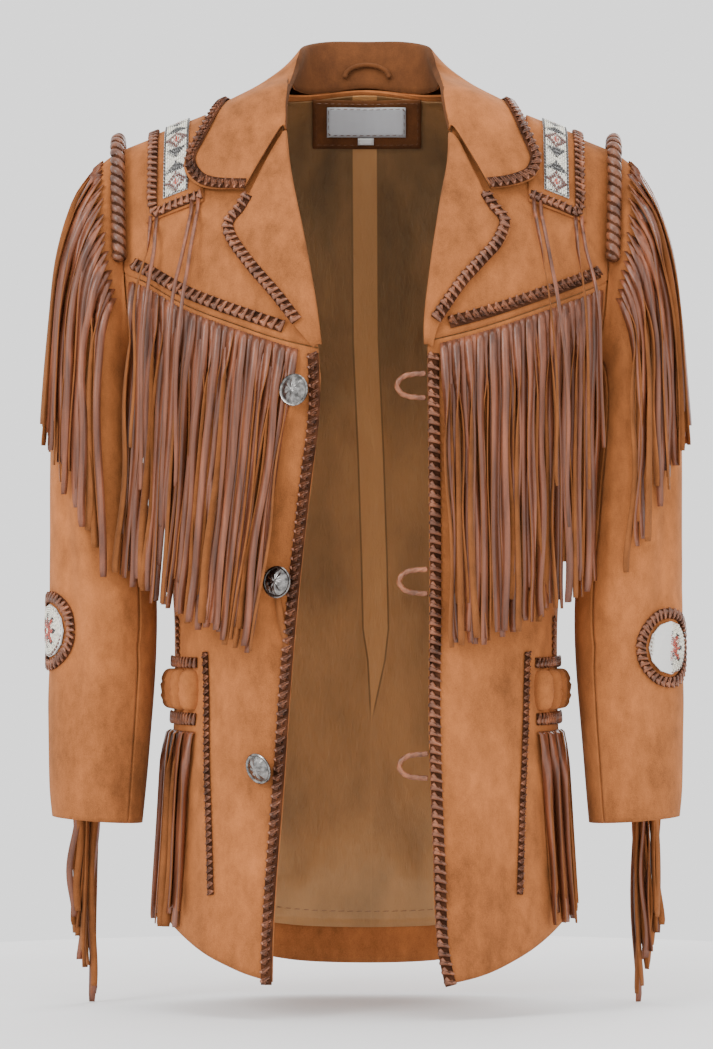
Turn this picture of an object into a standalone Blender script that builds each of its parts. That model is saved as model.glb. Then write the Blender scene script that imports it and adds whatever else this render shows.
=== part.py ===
"""Fringed suede coat, hollow as worn, with its fronts open.

Lengths are millimetres, turned to metres where a mesh is made. The front faces -Y, +Z is up,
and the wearer's right side is at -X. The origin lies between the shoulders.
"""
import bisect
import math
from collections import namedtuple

import bmesh
import bpy
from mathutils import Vector

MM = 0.001

# Cloth and trim thicknesses
WALL = 1.8
LINING_WALL = 1.2
LINING_GAP = 0.8
LINING_HEM_LEVEL = -752.0
SEAM = 0.55
LAY = 0.7
PLAIT_WIDTH = 12.0
PLAIT_INSET = 5.0
PLAIT_SEAT = 2.3
COLLAR_STITCH = 15.0
TURNED_Y = -25.0
PLAIT_RISE = 3.0
STITCH = 15.0

# A point inside the chest, that the outer sides face away from
BODY_HEART = Vector((0, 0, -150))

# Shoulders, chest and hem
SECTION_POWER = 2.5
RIDGE_Y = 8.0
SHOULDER_X = 224.0
SHOULDER_LEVEL = -27.0
SHOULDER_SLOPE = 0.40
NECK_ROUND = 20.0
NECK_HALF = 71.0
NECK_DROP = 22.0
NECK_BLEND_LEVEL = -105.0
UNDERARM_LEVEL = -250.0
HEM_LEVEL = -786.0
HEM_RISE = 55.0
HEM_HALF = 180.0
HEM_START = -560.0

# One row for each height of the body. A level is the height at the shoulder's tip; slope is the
# share of the shoulder's slope that the row still follows.
BodyRow = namedtuple("BodyRow", "level slope half_width armhole_x front back")
BODY = [
    BodyRow(-27, 1.00, 252, 224, 0, 0),
    BodyRow(-30, 1.00, 252, 224, 15, 14),
    BodyRow(-35, 1.00, 252, 224, 30, 28),
    BodyRow(-45, 1.00, 251, 223, 44, 44),
    BodyRow(-65, 1.00, 249, 223, 58, 62),
    BodyRow(-92, 0.95, 246, 222, 72, 80),
    BodyRow(-120, 0.85, 242, 221, 90, 94),
    BodyRow(-150, 0.70, 237, 219, 110, 104),
    BodyRow(-185, 0.50, 228, 216, 126, 110),
    BodyRow(-225, 0.30, 214, 210, 135, 114),
    BodyRow(-250, 0.18, 205, 205, 137, 115),
    BodyRow(-265, 0.12, 202, 202, 138, 116),
    BodyRow(-320, 0.00, 193, 193, 136, 114),
    BodyRow(-380, 0.00, 184, 184, 132, 110),
    BodyRow(-440, 0.00, 177, 177, 129, 106),
    BodyRow(-510, 0.00, 176, 176, 129, 108),
    BodyRow(-600, 0.00, 179, 179, 134, 113),
    BodyRow(-680, 0.00, 183, 183, 139, 116),
    BodyRow(-740, 0.00, 186, 186, 143, 119),
    BodyRow(-786, 0.00, 188, 188, 146, 121),
]

# Where each front ends at the opening, from the neck down the roll line to the hem
EdgeRow = namedtuple("EdgeRow", "z x")
EDGE_R = [EdgeRow(40, 70), EdgeRow(0, 76), EdgeRow(-15, 76), EdgeRow(-58, 71), EdgeRow(-98, 63),
          EdgeRow(-171, 49), EdgeRow(-214, 43), EdgeRow(-261, 41), EdgeRow(-332, 49),
          EdgeRow(-413, 58), EdgeRow(-511, 67), EdgeRow(-601, 73), EdgeRow(-663, 78),
          EdgeRow(-738, 83), EdgeRow(-800, 84)]
EDGE_L = [EdgeRow(40, 70), EdgeRow(14, 73), EdgeRow(-32, 80), EdgeRow(-51, 76), EdgeRow(-98, 68),
          EdgeRow(-144, 61), EdgeRow(-198, 55), EdgeRow(-216, 55), EdgeRow(-440, 57),
          EdgeRow(-529, 56), EdgeRow(-618, 58), EdgeRow(-690, 61), EdgeRow(-756, 64),
          EdgeRow(-800, 75)]

# The lower edge of each yoke, from the opening out to the armhole
YokeRow = namedtuple("YokeRow", "x z")
YOKE_R = [YokeRow(40, -214), YokeRow(59, -211), YokeRow(100, -198), YokeRow(139, -184),
          YokeRow(169, -171), YokeRow(195, -155), YokeRow(222, -142)]
YOKE_L = [YokeRow(50, -208), YokeRow(66, -205), YokeRow(119, -190), YokeRow(150, -179),
          YokeRow(182, -167), YokeRow(206, -157), YokeRow(222, -149)]

# Lapels: the height on the roll line, and the point of the outline that the row reaches
LapelRow = namedtuple("LapelRow", "roll_z out_x out_z")
LAPEL_R = [LapelRow(-211, 47, -214), LapelRow(-185, 66, -192), LapelRow(-155, 86, -166),
           LapelRow(-125, 104, -146), LapelRow(-98, 118, -128), LapelRow(-72, 130, -107),
           LapelRow(-45, 117, -94), LapelRow(-18, 106, -77)]
LAPEL_L = [LapelRow(-211, 59, -214), LapelRow(-188, 66, -190), LapelRow(-155, 88, -157),
           LapelRow(-125, 106, -138), LapelRow(-98, 122, -121), LapelRow(-72, 129, -103),
           LapelRow(-45, 115, -88), LapelRow(-18, 107, -76)]

# Collar: a row for each station from the centre back to the gorge. The fold is the top edge.
# Rows with a stand have their seam on the back's neckline at seam_x; the others, on the front.
CollarRow = namedtuple("CollarRow", "seam_x fold_x fold_y fold_z out_x out_q")
COLLAR_BACK = [
    CollarRow(0, 0, 77, 78, 0, -72),
    CollarRow(28, 30, 74, 78, 48, -66),
    CollarRow(50, 52, 60, 74, 92, -44),
    CollarRow(61, 60, 42, 69, 112, -24),
    CollarRow(66, 62, 31, 63, 122, -10),
    CollarRow(69, 64, 21, 56, 128, -4),
    CollarRow(71, 66, 11, 47, 132, -0.5),
]
CollarFront = namedtuple("CollarFront", "roll_z out_x out_z")
COLLAR_FRONT_R = [CollarFront(25, 135, 4), CollarFront(17, 141, -5), CollarFront(8, 151, -22),
                  CollarFront(-1, 164, -48), CollarFront(-6, 148, -68), CollarFront(-10, 124, -71),
                  CollarFront(-14, 109, -72)]
COLLAR_FRONT_L = [CollarFront(25, 133, 5), CollarFront(17, 138, -4), CollarFront(8, 146, -20),
                  CollarFront(-1, 156, -43), CollarFront(-6, 150, -60), CollarFront(-10, 130, -68),
                  CollarFront(-14, 111, -71)]

# Sleeve: each ring runs from its outer to its inner point, with its middle and depth along Y
SleeveRow = namedtuple("SleeveRow", "at outer_x outer_z inner_x inner_z mid_y half_depth")
SLEEVE = [
    SleeveRow(0, 226, -28, 207, -251, 2, 50),
    SleeveRow(1, 248, -46, 211, -257, 2, 54),
    SleeveRow(2, 266, -80, 211, -264, 1, 57),
    SleeveRow(3, 279, -130, 210, -275, 0, 59),
    SleeveRow(4, 286, -190, 208, -292, -1, 59),
    SleeveRow(5, 289, -250, 205, -315, -3, 58),
    SleeveRow(6, 290, -310, 201, -345, -5, 56),
    SleeveRow(7, 290, -370, 197, -385, -8, 54),
    SleeveRow(8, 290, -430, 192, -430, -11, 52),
    SleeveRow(9, 290, -490, 192, -490, -15, 50),
    SleeveRow(10, 289, -550, 196, -550, -19, 48),
    SleeveRow(11, 288, -600, 200, -600, -23, 46),
    SleeveRow(12, 286, -638, 204, -644, -26, 45),
]
LAST_RING = 12
SLEEVE_SIDES = 16
SLEEVE_START_GAP = 1.2
SLEEVE_SEAM = 1.05
HEAD_SEAM_TURN = 0.012
SMALL_TURN = 0.01
FRONT_SEAM_STEP = 6
BACK_SEAM_STEP = 12

# Lift of the lapels and the collar off the yokes
LAPEL_EDGE_LIFT = 2.4
LAPEL_ROLL_LIFT = 3.4
COLLAR_LIFT = 6.0

# Fringe
STRAND_WIDTH = 5.6
STRAND_THICKNESS = 1.3
STRAND_LENGTH = 248.0
STRAND_PARTS = (0.12, 0.5, 1.0)
STRIP_HEIGHT = 4.0
STRIP_THICKNESS = 1.4
YOKE_STRANDS = 27
ARMHOLE_STRANDS = 19
SLEEVE_STRANDS = 9
POCKET_STRANDS = 9

YOKE_STRIP_DROP = 5.5
HEAD_STRIP_AT = 0.66
HEAD_STRIP_TURN = 0.6
SLEEVE_TOP_Z = -70.0
FRINGE_BACK = -72.0
FRINGE_FRONT = 96.0
SLEEVE_FRINGE_TOP = -500.0
SLEEVE_FRINGE_PITCH = 12.0
SLEEVE_FRINGE_END = -775.0
SLEEVE_FRINGE_SHIFT = 6.0
SLEEVE_COLUMN = 8.0

# Where the yoke's strands start, and where those end
FringeRow = namedtuple("FringeRow", "x end_x end_z")
YOKE_FRINGE_R = [FringeRow(64, 104, -484), FringeRow(100, 130, -472), FringeRow(140, 163, -458),
                 FringeRow(175, 192, -440), FringeRow(212, 226, -416)]
YOKE_FRINGE_L = [FringeRow(69, 76, -482), FringeRow(105, 108, -474), FringeRow(140, 142, -462),
                 FringeRow(175, 176, -446), FringeRow(212, 208, -424)]

# The roll of looped leather over each armhole, by its angle round the armhole
ROLL_RADIUS = 6.5
ROLL_LIFT = 3.4
ROLL_BACK = -82.0
ROLL_FRONT = 88.0
ROLL_STEPS = 22

# Epaulettes: distances from the centre, and how far down the front they reach
EPAULETTE_IN = 147.0
EPAULETTE_OUT = 199.0
BEAD_IN = 161.0
BEAD_OUT = 183.0
EPAULETTE_FRONT = 80.0
FRAME_INSET = 6.0
PATCH_WALL = 1.5
BEAD_WALL = 1.2
THONG_WIDTH = 3.0
THONGS = [(152, 18, 250), (158, 24, 285), (190, 12, 240), (196, 16, 200)]

# Plaits down the fronts and along the yokes
EDGE_PLAIT_TOP = -219.0
EDGE_PLAIT_END = -783.0
YOKE_PLAIT_IN = 74.0
YOKE_PLAIT_OUT = 211.0
YOKE_PLAIT_RISE = 12.0

# Pockets, by angle round the body from the side seam, and by height
POCKET_TURN_IN = 3.0
POCKET_TURN_OUT = 33.0
UPPER_BAND_Z = -497.0
ROLLS = 4
ROLL_TOP_Z = -505.0
ROLL_END_Z = -539.0
ROLL_SHOULDER = 9.0
ROLL_PUFF = 11.5
LOWER_BAND_Z = -548.0
POCKET_FRINGE_TOP = -560.0
POCKET_FRINGE_END = -728.0
WeltRow = namedtuple("WeltRow", "z x")
WELT = [WeltRow(-480, 146), WeltRow(-560, 143), WeltRow(-640, 140), WeltRow(-710, 138)]
WELT_TOP = -487.0
WELT_END = -704.0
WELT_WIDTH = 8.0

# Elbow medallions: the angle round the sleeve and the height of each centre
MEDALLION_TURN_R = 20.0
MEDALLION_TURN_L = 45.0
MEDALLION_Z_R = -469.0
MEDALLION_Z_L = -484.0
ELBOW_RADIUS = 50.0
RING_RADIUS = 31.5
RING_WIDTH = 11.0
DISC_RADIUS = 24.0

# Labels inside the neck: left, right, top and bottom, and the hanger loop
LABEL_PATCH = (-50, 52, 24, -19)
WOVEN_LABEL = (-37, 38, 19, -8)
SIZE_TAB = (-8, 8, -9, -15)
HANGER_MIDDLE = 1.0
HANGER_HALF = 21.0
HANGER_Z = 43.0
HANGER_RISE = 13.0
HANGER_Y = 55.4
HANGER_LEAN = 0.46
HANGER_CORD = 1.8

# Buttons and button loops down the fronts
BUTTON_STAND = 10.0
BUTTON_RADIUS = 14.5
BUTTON_SPOTS = [(-59, -253), (-74, -424), (-89, -587)]
LOOP_HEIGHTS = [-248, -423, -588]
LOOP_REACH = 26.0
LOOP_RADIUS = 11.0
LOOP_SEAT = 1.5
CORD_RADIUS = 2.0

SUEDE = (0.53, 0.23, 0.11)
SUEDE_DARK = (0.36, 0.15, 0.07)
LEATHER = (0.26, 0.11, 0.065)
PLAIT_LEATHER = (0.32, 0.14, 0.09)
SATIN = (0.40, 0.21, 0.09)
METAL = (0.45, 0.44, 0.42)
BEADS = (0.80, 0.74, 0.62)
WOVEN = (0.50, 0.50, 0.52)


def clear_scene():
    """Empty the scene and its meshes and curves."""
    for thing in list(bpy.data.objects):
        bpy.data.objects.remove(thing, do_unlink=True)
    for group in (bpy.data.meshes, bpy.data.curves, bpy.data.materials):
        for block in list(group):
            group.remove(block)


def make_material(name, colour, roughness, metallic=0.0):
    """A plain finish of one colour."""
    material = bpy.data.materials.new(name)
    material.use_nodes = True
    shader = material.node_tree.nodes["Principled BSDF"]
    shader.inputs["Base Color"].default_value = (*colour, 1.0)
    shader.inputs["Roughness"].default_value = roughness
    shader.inputs["Metallic"].default_value = metallic
    return material


def add_object(name, mesh, colour, roughness=0.85, metallic=0.0):
    """Put a mesh in the coat's collection under its part name, in a finish of its own."""
    thing = bpy.data.objects.new(name, mesh)
    bpy.data.collections["suede_coat"].objects.link(thing)
    mesh.materials.append(make_material(name, colour, roughness, metallic))
    return thing


CURVES = {}


def curve_of(rows, column):
    """Keys, values and tangents of a table's column, rising with its first column."""
    name = (id(rows), column)
    if name in CURVES:
        return CURVES[name]
    ordered = sorted(rows, key=lambda row: row[0])
    keys = [row[0] for row in ordered]
    values = [getattr(row, column) for row in ordered]
    steps = [(values[k + 1] - values[k]) / (keys[k + 1] - keys[k]) for k in range(len(keys) - 1)]
    tangents = [steps[0]]
    for before, after in zip(steps, steps[1:]):
        gentle = min(abs(before + after) / 2, 3 * abs(before), 3 * abs(after))
        tangents.append(math.copysign(gentle, before) if before * after > 0 else 0.0)
    tangents.append(steps[-1])
    CURVES[name] = (keys, values, tangents)
    return CURVES[name]


def read(rows, column, at):
    """Read a column of a table at any value of its first column, on a smooth curve."""
    keys, values, tangents = curve_of(rows, column)
    at = min(max(at, keys[0]), keys[-1])
    i = min(max(bisect.bisect_right(keys, at) - 1, 0), len(keys) - 2)
    span = keys[i + 1] - keys[i]
    u = (at - keys[i]) / span
    rest = 1 - u
    ends = values[i] * rest * rest * (1 + 2 * u) + values[i + 1] * u * u * (3 - 2 * u)
    return ends + span * u * rest * (tangents[i] * rest - tangents[i + 1] * u)


def solve(function, target, low, high):
    """Where a rising function meets a target, by halving."""
    for _ in range(40):
        middle = (low + high) / 2
        if function(middle) < target:
            low = middle
        else:
            high = middle
    return (low + high) / 2


def body_height(x, level):
    """Height of the body's surface on a level, at a distance from the centre."""
    rise = SHOULDER_SLOPE * (SHOULDER_X - math.hypot(x, NECK_ROUND))
    hem_share = min(max((HEM_START - level) / (HEM_START - HEM_LEVEL), 0.0), 1.0) ** 1.5
    hem = HEM_RISE * (abs(x) / HEM_HALF) ** 3
    return level + read(BODY, "slope", level) * rise + hem_share * hem


def level_at(x, z):
    """The level that passes through a height, at a distance from the centre."""
    return solve(lambda level: body_height(x, level), z, HEM_LEVEL - 30, SHOULDER_LEVEL)


def body_point(side, x, level, face):
    """A point of the body's outer surface. Face is -1 for the front and 1 for the back."""
    width = read(BODY, "half_width", level)
    depth = read(BODY, "front" if face < 0 else "back", level)
    share = max(1.0 - (min(abs(x), width) / width) ** SECTION_POWER, 0.0) ** (1 / SECTION_POWER)
    return Vector((side * x, RIDGE_Y + face * (depth * share + SEAM), body_height(x, level)))


def turn_point(side, turn, level, face):
    """The same surface by an angle round the body, from 0 at the side to 90 degrees at the centre."""
    width = read(BODY, "half_width", level)
    return body_point(side, width * math.cos(turn) ** (2 / SECTION_POWER), level, face)


def turn_at(x, level):
    """The angle round the body at a distance from the centre."""
    width = read(BODY, "half_width", level)
    return math.acos(min(abs(x) / width, 1.0) ** (SECTION_POWER / 2))


def body_normal(side, x, level, face):
    """Outward normal of the body's surface."""
    step = 1.5
    turn = turn_at(x, level)
    low, high = max(turn - 0.02, 0.001), min(turn + 0.02, math.pi / 2)
    across = turn_point(side, high, level, face) - turn_point(side, low, level, face)
    upper = min(level + step, SHOULDER_LEVEL)
    down = body_point(side, x, level - step, face) - body_point(side, x, upper, face)
    normal = across.cross(down).normalized()
    outward = Vector((side * abs(x) * 0.3, face * 60.0, 20.0))
    return normal if normal.dot(outward) > 0 else -normal


def front_spot(side, x, z, lift=0.0):
    """A point on the front at a distance from the centre and a height, moved out by lift."""
    level = level_at(x, z)
    return body_point(side, x, level, -1) + body_normal(side, x, level, -1) * lift


def over_shoulder(side, x, q, lift=0.0):
    """A point beside the shoulder line: q runs down the front, and below zero down the back."""
    def point(value):
        return body_point(side, x, SHOULDER_LEVEL - abs(value), -1 if value >= 0 else 1)
    low, high = point(q - 1.0), point(q + 1.0)
    across = body_point(side, x + 1.0, SHOULDER_LEVEL - abs(q), -1 if q >= 0 else 1)
    across = across - body_point(side, x - 1.0, SHOULDER_LEVEL - abs(q), -1 if q >= 0 else 1)
    normal = across.cross(high - low).normalized()
    if normal.z < 0 and abs(q) < 60:
        normal = -normal
    if abs(q) >= 60 and normal.y * (-1 if q >= 0 else 1) < 0:
        normal = -normal
    return point(q) + normal * lift, normal


def edge_x(side, z):
    """Distance of a front's edge from the centre."""
    return read(EDGE_L if side > 0 else EDGE_R, "x", z)


def yoke_z(side, x):
    """Height of a yoke's lower edge."""
    return read(YOKE_L if side > 0 else YOKE_R, "z", x)


def armhole_spot(side, angle, gap):
    """A point of the armhole's seam: 0 is the top, 90 degrees the front, 180 the underarm."""
    middle = (SHOULDER_LEVEL + UNDERARM_LEVEL) / 2
    half = (SHOULDER_LEVEL - UNDERARM_LEVEL) / 2
    level = middle + half * math.cos(angle)
    spot = body_point(side, read(BODY, "armhole_x", level), level, -1 if math.sin(angle) >= 0 else 1)
    spot.x += side * gap
    spot.z -= gap * math.cos(angle) * 0.2
    return spot


def sleeve_point(side, angle, at, lift=0.0):
    """A point of the sleeve. The angle is 0 outside, 90 degrees in front and 180 inside."""
    if at < 1.0:
        head = armhole_spot(side, angle, SLEEVE_START_GAP)
        first = sleeve_point(side, angle, 1.0)
        turned = sleeve_point(side, angle + SMALL_TURN, 1.0) - sleeve_point(side, angle - SMALL_TURN, 1.0)
        normal = turned.cross(first - head).normalized()
        away = sleeve_point(side, angle, 1.0, 1.0) - first
        if normal.dot(away) < 0:
            normal = -normal
        return head.lerp(first, at) + normal * lift
    outer = Vector((read(SLEEVE, "outer_x", at), 0, read(SLEEVE, "outer_z", at)))
    inner = Vector((read(SLEEVE, "inner_x", at), 0, read(SLEEVE, "inner_z", at)))
    middle = (outer + inner) / 2
    reach = (outer - inner) / 2
    depth = read(SLEEVE, "half_depth", at)
    spot = middle + reach * math.cos(angle)
    spot.y = read(SLEEVE, "mid_y", at) - depth * math.sin(angle)
    away = reach * math.cos(angle) / reach.length_squared
    away.y = -math.sin(angle) / depth
    spot += away.normalized() * lift
    spot.x *= side
    return spot


def sleeve_at(side, angle, z, lift=0.0):
    """A point of the sleeve at a height."""
    at = solve(lambda value: -sleeve_point(side, angle, value).z, -z, 0.0, LAST_RING)
    spot = sleeve_point(side, angle, at, lift)
    if z < spot.z - 1.0:
        spot.z = z
    return spot


def new_mesh(name, bm):
    """Turn a bmesh in millimetres into a mesh in metres, with its faces outward."""
    bmesh.ops.recalc_face_normals(bm, faces=bm.faces)
    bmesh.ops.scale(bm, vec=(MM, MM, MM), verts=bm.verts)
    mesh = bpy.data.meshes.new(name)
    bm.to_mesh(mesh)
    bm.free()
    return mesh


def loft(grid, closed=False):
    """Skin rows of points with quads."""
    bm = bmesh.new()
    rows = [[bm.verts.new(point) for point in row] for row in grid]
    for upper, lower in zip(rows, rows[1:]):
        count = len(upper)
        for i in range(count if closed else count - 1):
            j = (i + 1) % count
            bm.faces.new((upper[i], upper[j], lower[j], lower[i]))
    return bm


def cloth(name, grid, outward, colour, wall=WALL, centred=False, roughness=0.9, metallic=0.0):
    """A panel of cloth: a lofted sheet, with its wall grown by Solidify.

    Outward is a point that the outer side faces, or a direction when the sheet is centred.
    """
    bm = loft(grid)
    bm.normal_update()
    score = sum(face.normal.dot(outward(face.calc_center_median())) for face in bm.faces)
    if score < 0:
        bmesh.ops.reverse_faces(bm, faces=bm.faces)
    bmesh.ops.scale(bm, vec=(MM, MM, MM), verts=bm.verts)
    mesh = bpy.data.meshes.new(name)
    bm.to_mesh(mesh)
    bm.free()
    thing = add_object(name, mesh, colour, roughness, metallic)
    grow = thing.modifiers.new("Wall", "SOLIDIFY")
    grow.thickness = wall * MM
    grow.offset = 0.0 if centred else -1.0
    grow.use_even_offset = False
    mesh.shade_smooth()
    return thing


def tube(sections):
    """A solid through rings of points, closed by a face at each end."""
    bm = loft(sections, closed=True)
    bm.verts.ensure_lookup_table()
    count = len(sections[0])
    total = len(bm.verts)
    bm.faces.new([bm.verts[i] for i in range(count)])
    bm.faces.new([bm.verts[total - count + i] for i in range(count)])
    return bm


def spaced(spots, pitch):
    """Spread pairs of point and normal evenly along their line, near a pitch."""
    lengths = [0.0]
    for before, after in zip(spots, spots[1:]):
        lengths.append(lengths[-1] + (after[0] - before[0]).length)
    count = max(int(round(lengths[-1] / pitch)), 2)
    result = []
    for k in range(count + 1):
        target = lengths[-1] * k / count
        i = 0
        while i < len(lengths) - 2 and target > lengths[i + 1]:
            i += 1
        share = (target - lengths[i]) / max(lengths[i + 1] - lengths[i], 1e-6)
        result.append((spots[i][0].lerp(spots[i + 1][0], share),
                       spots[i][1].lerp(spots[i + 1][1], share).normalized()))
    return result


def plait(name, spots, width=PLAIT_WIDTH, rise=PLAIT_RISE, pitch=STITCH, colour=PLAIT_LEATHER):
    """A flat plait on a line of points and normals: its two rows of stitches rise in turn."""
    spots = spaced(spots, pitch)
    sections = []
    for i, (point, normal) in enumerate(spots):
        before = spots[max(i - 1, 0)][0]
        after = spots[min(i + 1, len(spots) - 1)][0]
        across = (after - before).cross(normal).normalized() * width / 2
        high, low = (rise, rise * 0.55) if i % 2 else (rise * 0.55, rise)
        sections.append([point - across, point + across,
                         point + across * 0.62 + normal * high,
                         point - across * 0.62 + normal * low])
    return add_object(name, new_mesh(name, tube(sections)), colour, 0.6)


def fringe(name, roots, paths, width, colour=LEATHER):
    """Strands hanging from a narrow strip.

    Roots are (middle, along, out, up) for each strand; paths are its (middle, across, out) further down.
    """
    bm = bmesh.new()
    columns = []
    for middle, along, out, up in roots:
        for end in (-1, 1):
            base = middle + along * end * width * 0.36
            top = base + up * STRIP_HEIGHT
            columns.append([bm.verts.new(point) for point in (
                top, top + out * STRIP_THICKNESS, base + out * STRIP_THICKNESS, base)])
    for left, right in zip(columns, columns[1:]):
        for a in (0, 1, 3):
            b = (a + 1) % 4
            bm.faces.new((left[a], left[b], right[b], right[a]))
    bm.faces.new(columns[0])
    bm.faces.new(columns[-1])
    for i in range(len(roots) - 1):
        left, right = columns[2 * i + 1], columns[2 * i + 2]
        bm.faces.new((left[2], left[3], right[3], right[2]))
    for i, path in enumerate(paths):
        left, right = columns[2 * i], columns[2 * i + 1]
        ring = [left[3], left[2], right[2], right[3]]
        for middle, across, out in path:
            half = across * width / 2
            thick = out * STRAND_THICKNESS / 2
            below = [bm.verts.new(point) for point in (
                middle - half - thick, middle - half + thick,
                middle + half + thick, middle + half - thick)]
            for a in range(4):
                b = (a + 1) % 4
                bm.faces.new((ring[a], ring[b], below[b], below[a]))
            ring = below
        bm.faces.new(ring)
    return add_object(name, new_mesh(name, bm), colour, 0.45)


def wobble(seed, size=1.0):
    """A steady irregular number between -size and size."""
    value = math.sin(seed * 12.9898 + 4.1414) * 43758.5453
    return (2 * (value - math.floor(value)) - 1) * size


def label(side):
    """Ending of a name on the wearer's right or left."""
    return "l" if side > 0 else "r"


def facing(side, face):
    """The way the outer side of a body panel looks."""
    return lambda point: Vector((point.x * 0.6, face * 120.0, 25.0))


def yoke_level(side, x):
    """Level of the yoke's lower edge at a distance from the centre."""
    return level_at(x, yoke_z(side, x))


def front_edge_x(side, level):
    """Distance of the front's edge from the centre on a level."""
    x = 60.0
    for _ in range(6):
        x = edge_x(side, body_height(x, level))
    return x


def panel_row(side, face, level_of, columns, inner_x_of):
    """One row of points across a body panel, from the side seam or armhole to its inner edge."""
    row = []
    for i in range(columns + 1):
        share = i / columns
        level = level_of(120.0)
        for _ in range(5):
            outer = turn_at(read(BODY, "armhole_x", level), level)
            inner = turn_at(inner_x_of(level), level)
            turn = outer + (inner - outer) * share
            x = read(BODY, "half_width", level) * math.cos(turn) ** (2 / SECTION_POWER)
            level = level_of(x)
        row.append(body_point(side, x, level, face))
    return row


def build_front(side):
    """A front, from the yoke's edge to the hem."""
    upper_levels = [0.0, 0.3, 0.62, 1.0]
    lower_levels = [-305, -365, -425, -485, -545, -605, -665, -728, -786]
    join = -258.0
    grid = []
    for share in upper_levels:
        def level_of(x, share=share):
            """Blend from the yoke's edge down to a level row."""
            top = yoke_level(side, x) - 0.9
            return top + (join - top) * share
        grid.append(panel_row(side, -1, level_of, 8, lambda level: front_edge_x(side, level)))
    for level in lower_levels:
        grid.append(panel_row(side, -1, lambda x, level=level: level, 8,
                              lambda level: front_edge_x(side, level)))
    cloth("front_" + label(side), grid, facing(side, -1), SUEDE)


def build_yoke(side):
    """A front yoke, from the shoulder to its plaited lower edge."""
    drops = [0, 3, 8, 18, 36, 60]
    shares = [0.0, 0.22, 0.46, 0.72, 1.0]
    grid = []
    for drop in drops:
        grid.append(panel_row(side, -1, lambda x, drop=drop: SHOULDER_LEVEL - drop, 8,
                              lambda level: front_edge_x(side, level)))
    for share in shares[1:]:
        def level_of(x, share=share):
            """Blend from the last level row down to the yoke's edge."""
            top = SHOULDER_LEVEL - drops[-1]
            return top + (yoke_level(side, x) - top) * share
        grid.append(panel_row(side, -1, level_of, 8, lambda level: front_edge_x(side, level)))
    cloth("front_yoke_" + label(side), grid, facing(side, -1), SUEDE)


def neck_level(x):
    """Level of the back's neckline."""
    return SHOULDER_LEVEL - NECK_DROP * max(1 - (x / NECK_HALF) ** 2, 0.0) ** 0.6


def back_grid(inset, levels, columns):
    """Rows across the whole back, moved in from its outer side by inset."""
    grid = []
    for level in levels:
        row = []
        for i in range(-columns, columns + 1):
            side = 1 if i >= 0 else -1
            share = 1.0 - abs(i) / columns
            outer = turn_at(read(BODY, "armhole_x", level), level)
            turn = outer + (math.pi / 2 - outer) * share
            x = read(BODY, "half_width", level) * math.cos(turn) ** (2 / SECTION_POWER)
            here = level
            if x < NECK_HALF and level > NECK_BLEND_LEVEL:
                drop = neck_level(x) - SHOULDER_LEVEL
                fade = (level - NECK_BLEND_LEVEL) / (SHOULDER_LEVEL - NECK_BLEND_LEVEL)
                here = level + drop * fade
            point = body_point(side, x, here, 1)
            row.append(point - body_normal(side, max(x, 0.5), here, 1) * inset)
        grid.append(row)
    return grid


BACK_LEVELS = [-27, -31, -38, -50, -70, -97, -130, -168, -210, -250, -310, -385, -465, -560, -670,
               -786]


def build_back():
    """The back in one piece, with its neckline cut out."""
    cloth("back", back_grid(0.0, BACK_LEVELS, 7), facing(1, 1), SUEDE)


def build_lining():
    """The satin lining of the back, from just below the neckline to its own hem."""
    levels = BACK_LEVELS[1:-1] + [LINING_HEM_LEVEL]
    grid = back_grid(WALL + LINING_GAP, levels, 7)
    cloth("back_lining", grid, facing(1, 1), SATIN, LINING_WALL, roughness=0.35)


def build_sleeve(side):
    """A two-piece sleeve: the upper sleeve outside and the under sleeve inside."""
    def ring(at, first, last):
        """Points of one ring between two seams, with the seam gap at both ends."""
        points = []
        for step in range(first, last + 1):
            angle = 2 * math.pi * step / SLEEVE_SIDES
            ahead = sleeve_point(side, angle + SMALL_TURN, at) - sleeve_point(side, angle, at)
            shift = SMALL_TURN * SLEEVE_SEAM / ahead.length
            angle += shift * ((step == first) - (step == last))
            points.append(sleeve_point(side, angle, at))
        return points

    def head(first, last):
        """The sleeve's head, just off the armhole."""
        points = []
        for step in range(first, last + 1):
            angle = 2 * math.pi * step / SLEEVE_SIDES
            angle += HEAD_SEAM_TURN * ((step == first) - (step == last))
            spot = armhole_spot(side, angle, SLEEVE_START_GAP)
            points.append(spot)
        return points

    def middle_of(point):
        """Direction out from the sleeve's own middle."""
        def centre(at):
            """Middle of the ring at a place along the sleeve."""
            return (sleeve_point(side, 0, at) + sleeve_point(side, math.pi, at)) / 2
        return point - centre(solve(lambda at: -centre(at).z, -point.z, 0.0, LAST_RING))

    spans = {"under": (FRONT_SEAM_STEP, BACK_SEAM_STEP),
             "upper": (BACK_SEAM_STEP, SLEEVE_SIDES + FRONT_SEAM_STEP)}
    for piece, (first, last) in spans.items():
        grid = [head(first, last)]
        grid += [ring(at, first, last) for at in range(1, LAST_RING + 1)]
        colour = SUEDE if piece == "upper" else SUEDE_DARK
        cloth("sleeve_" + piece + "_" + label(side), grid, middle_of, colour)


def turned_cloth(name, grid, colour, wall=WALL):
    """A piece that turns over itself, its wall grown on both sides of the lofted sheet."""
    cloth(name, grid, lambda point: Vector((0, 0, 1)), colour, wall, centred=True)


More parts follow.
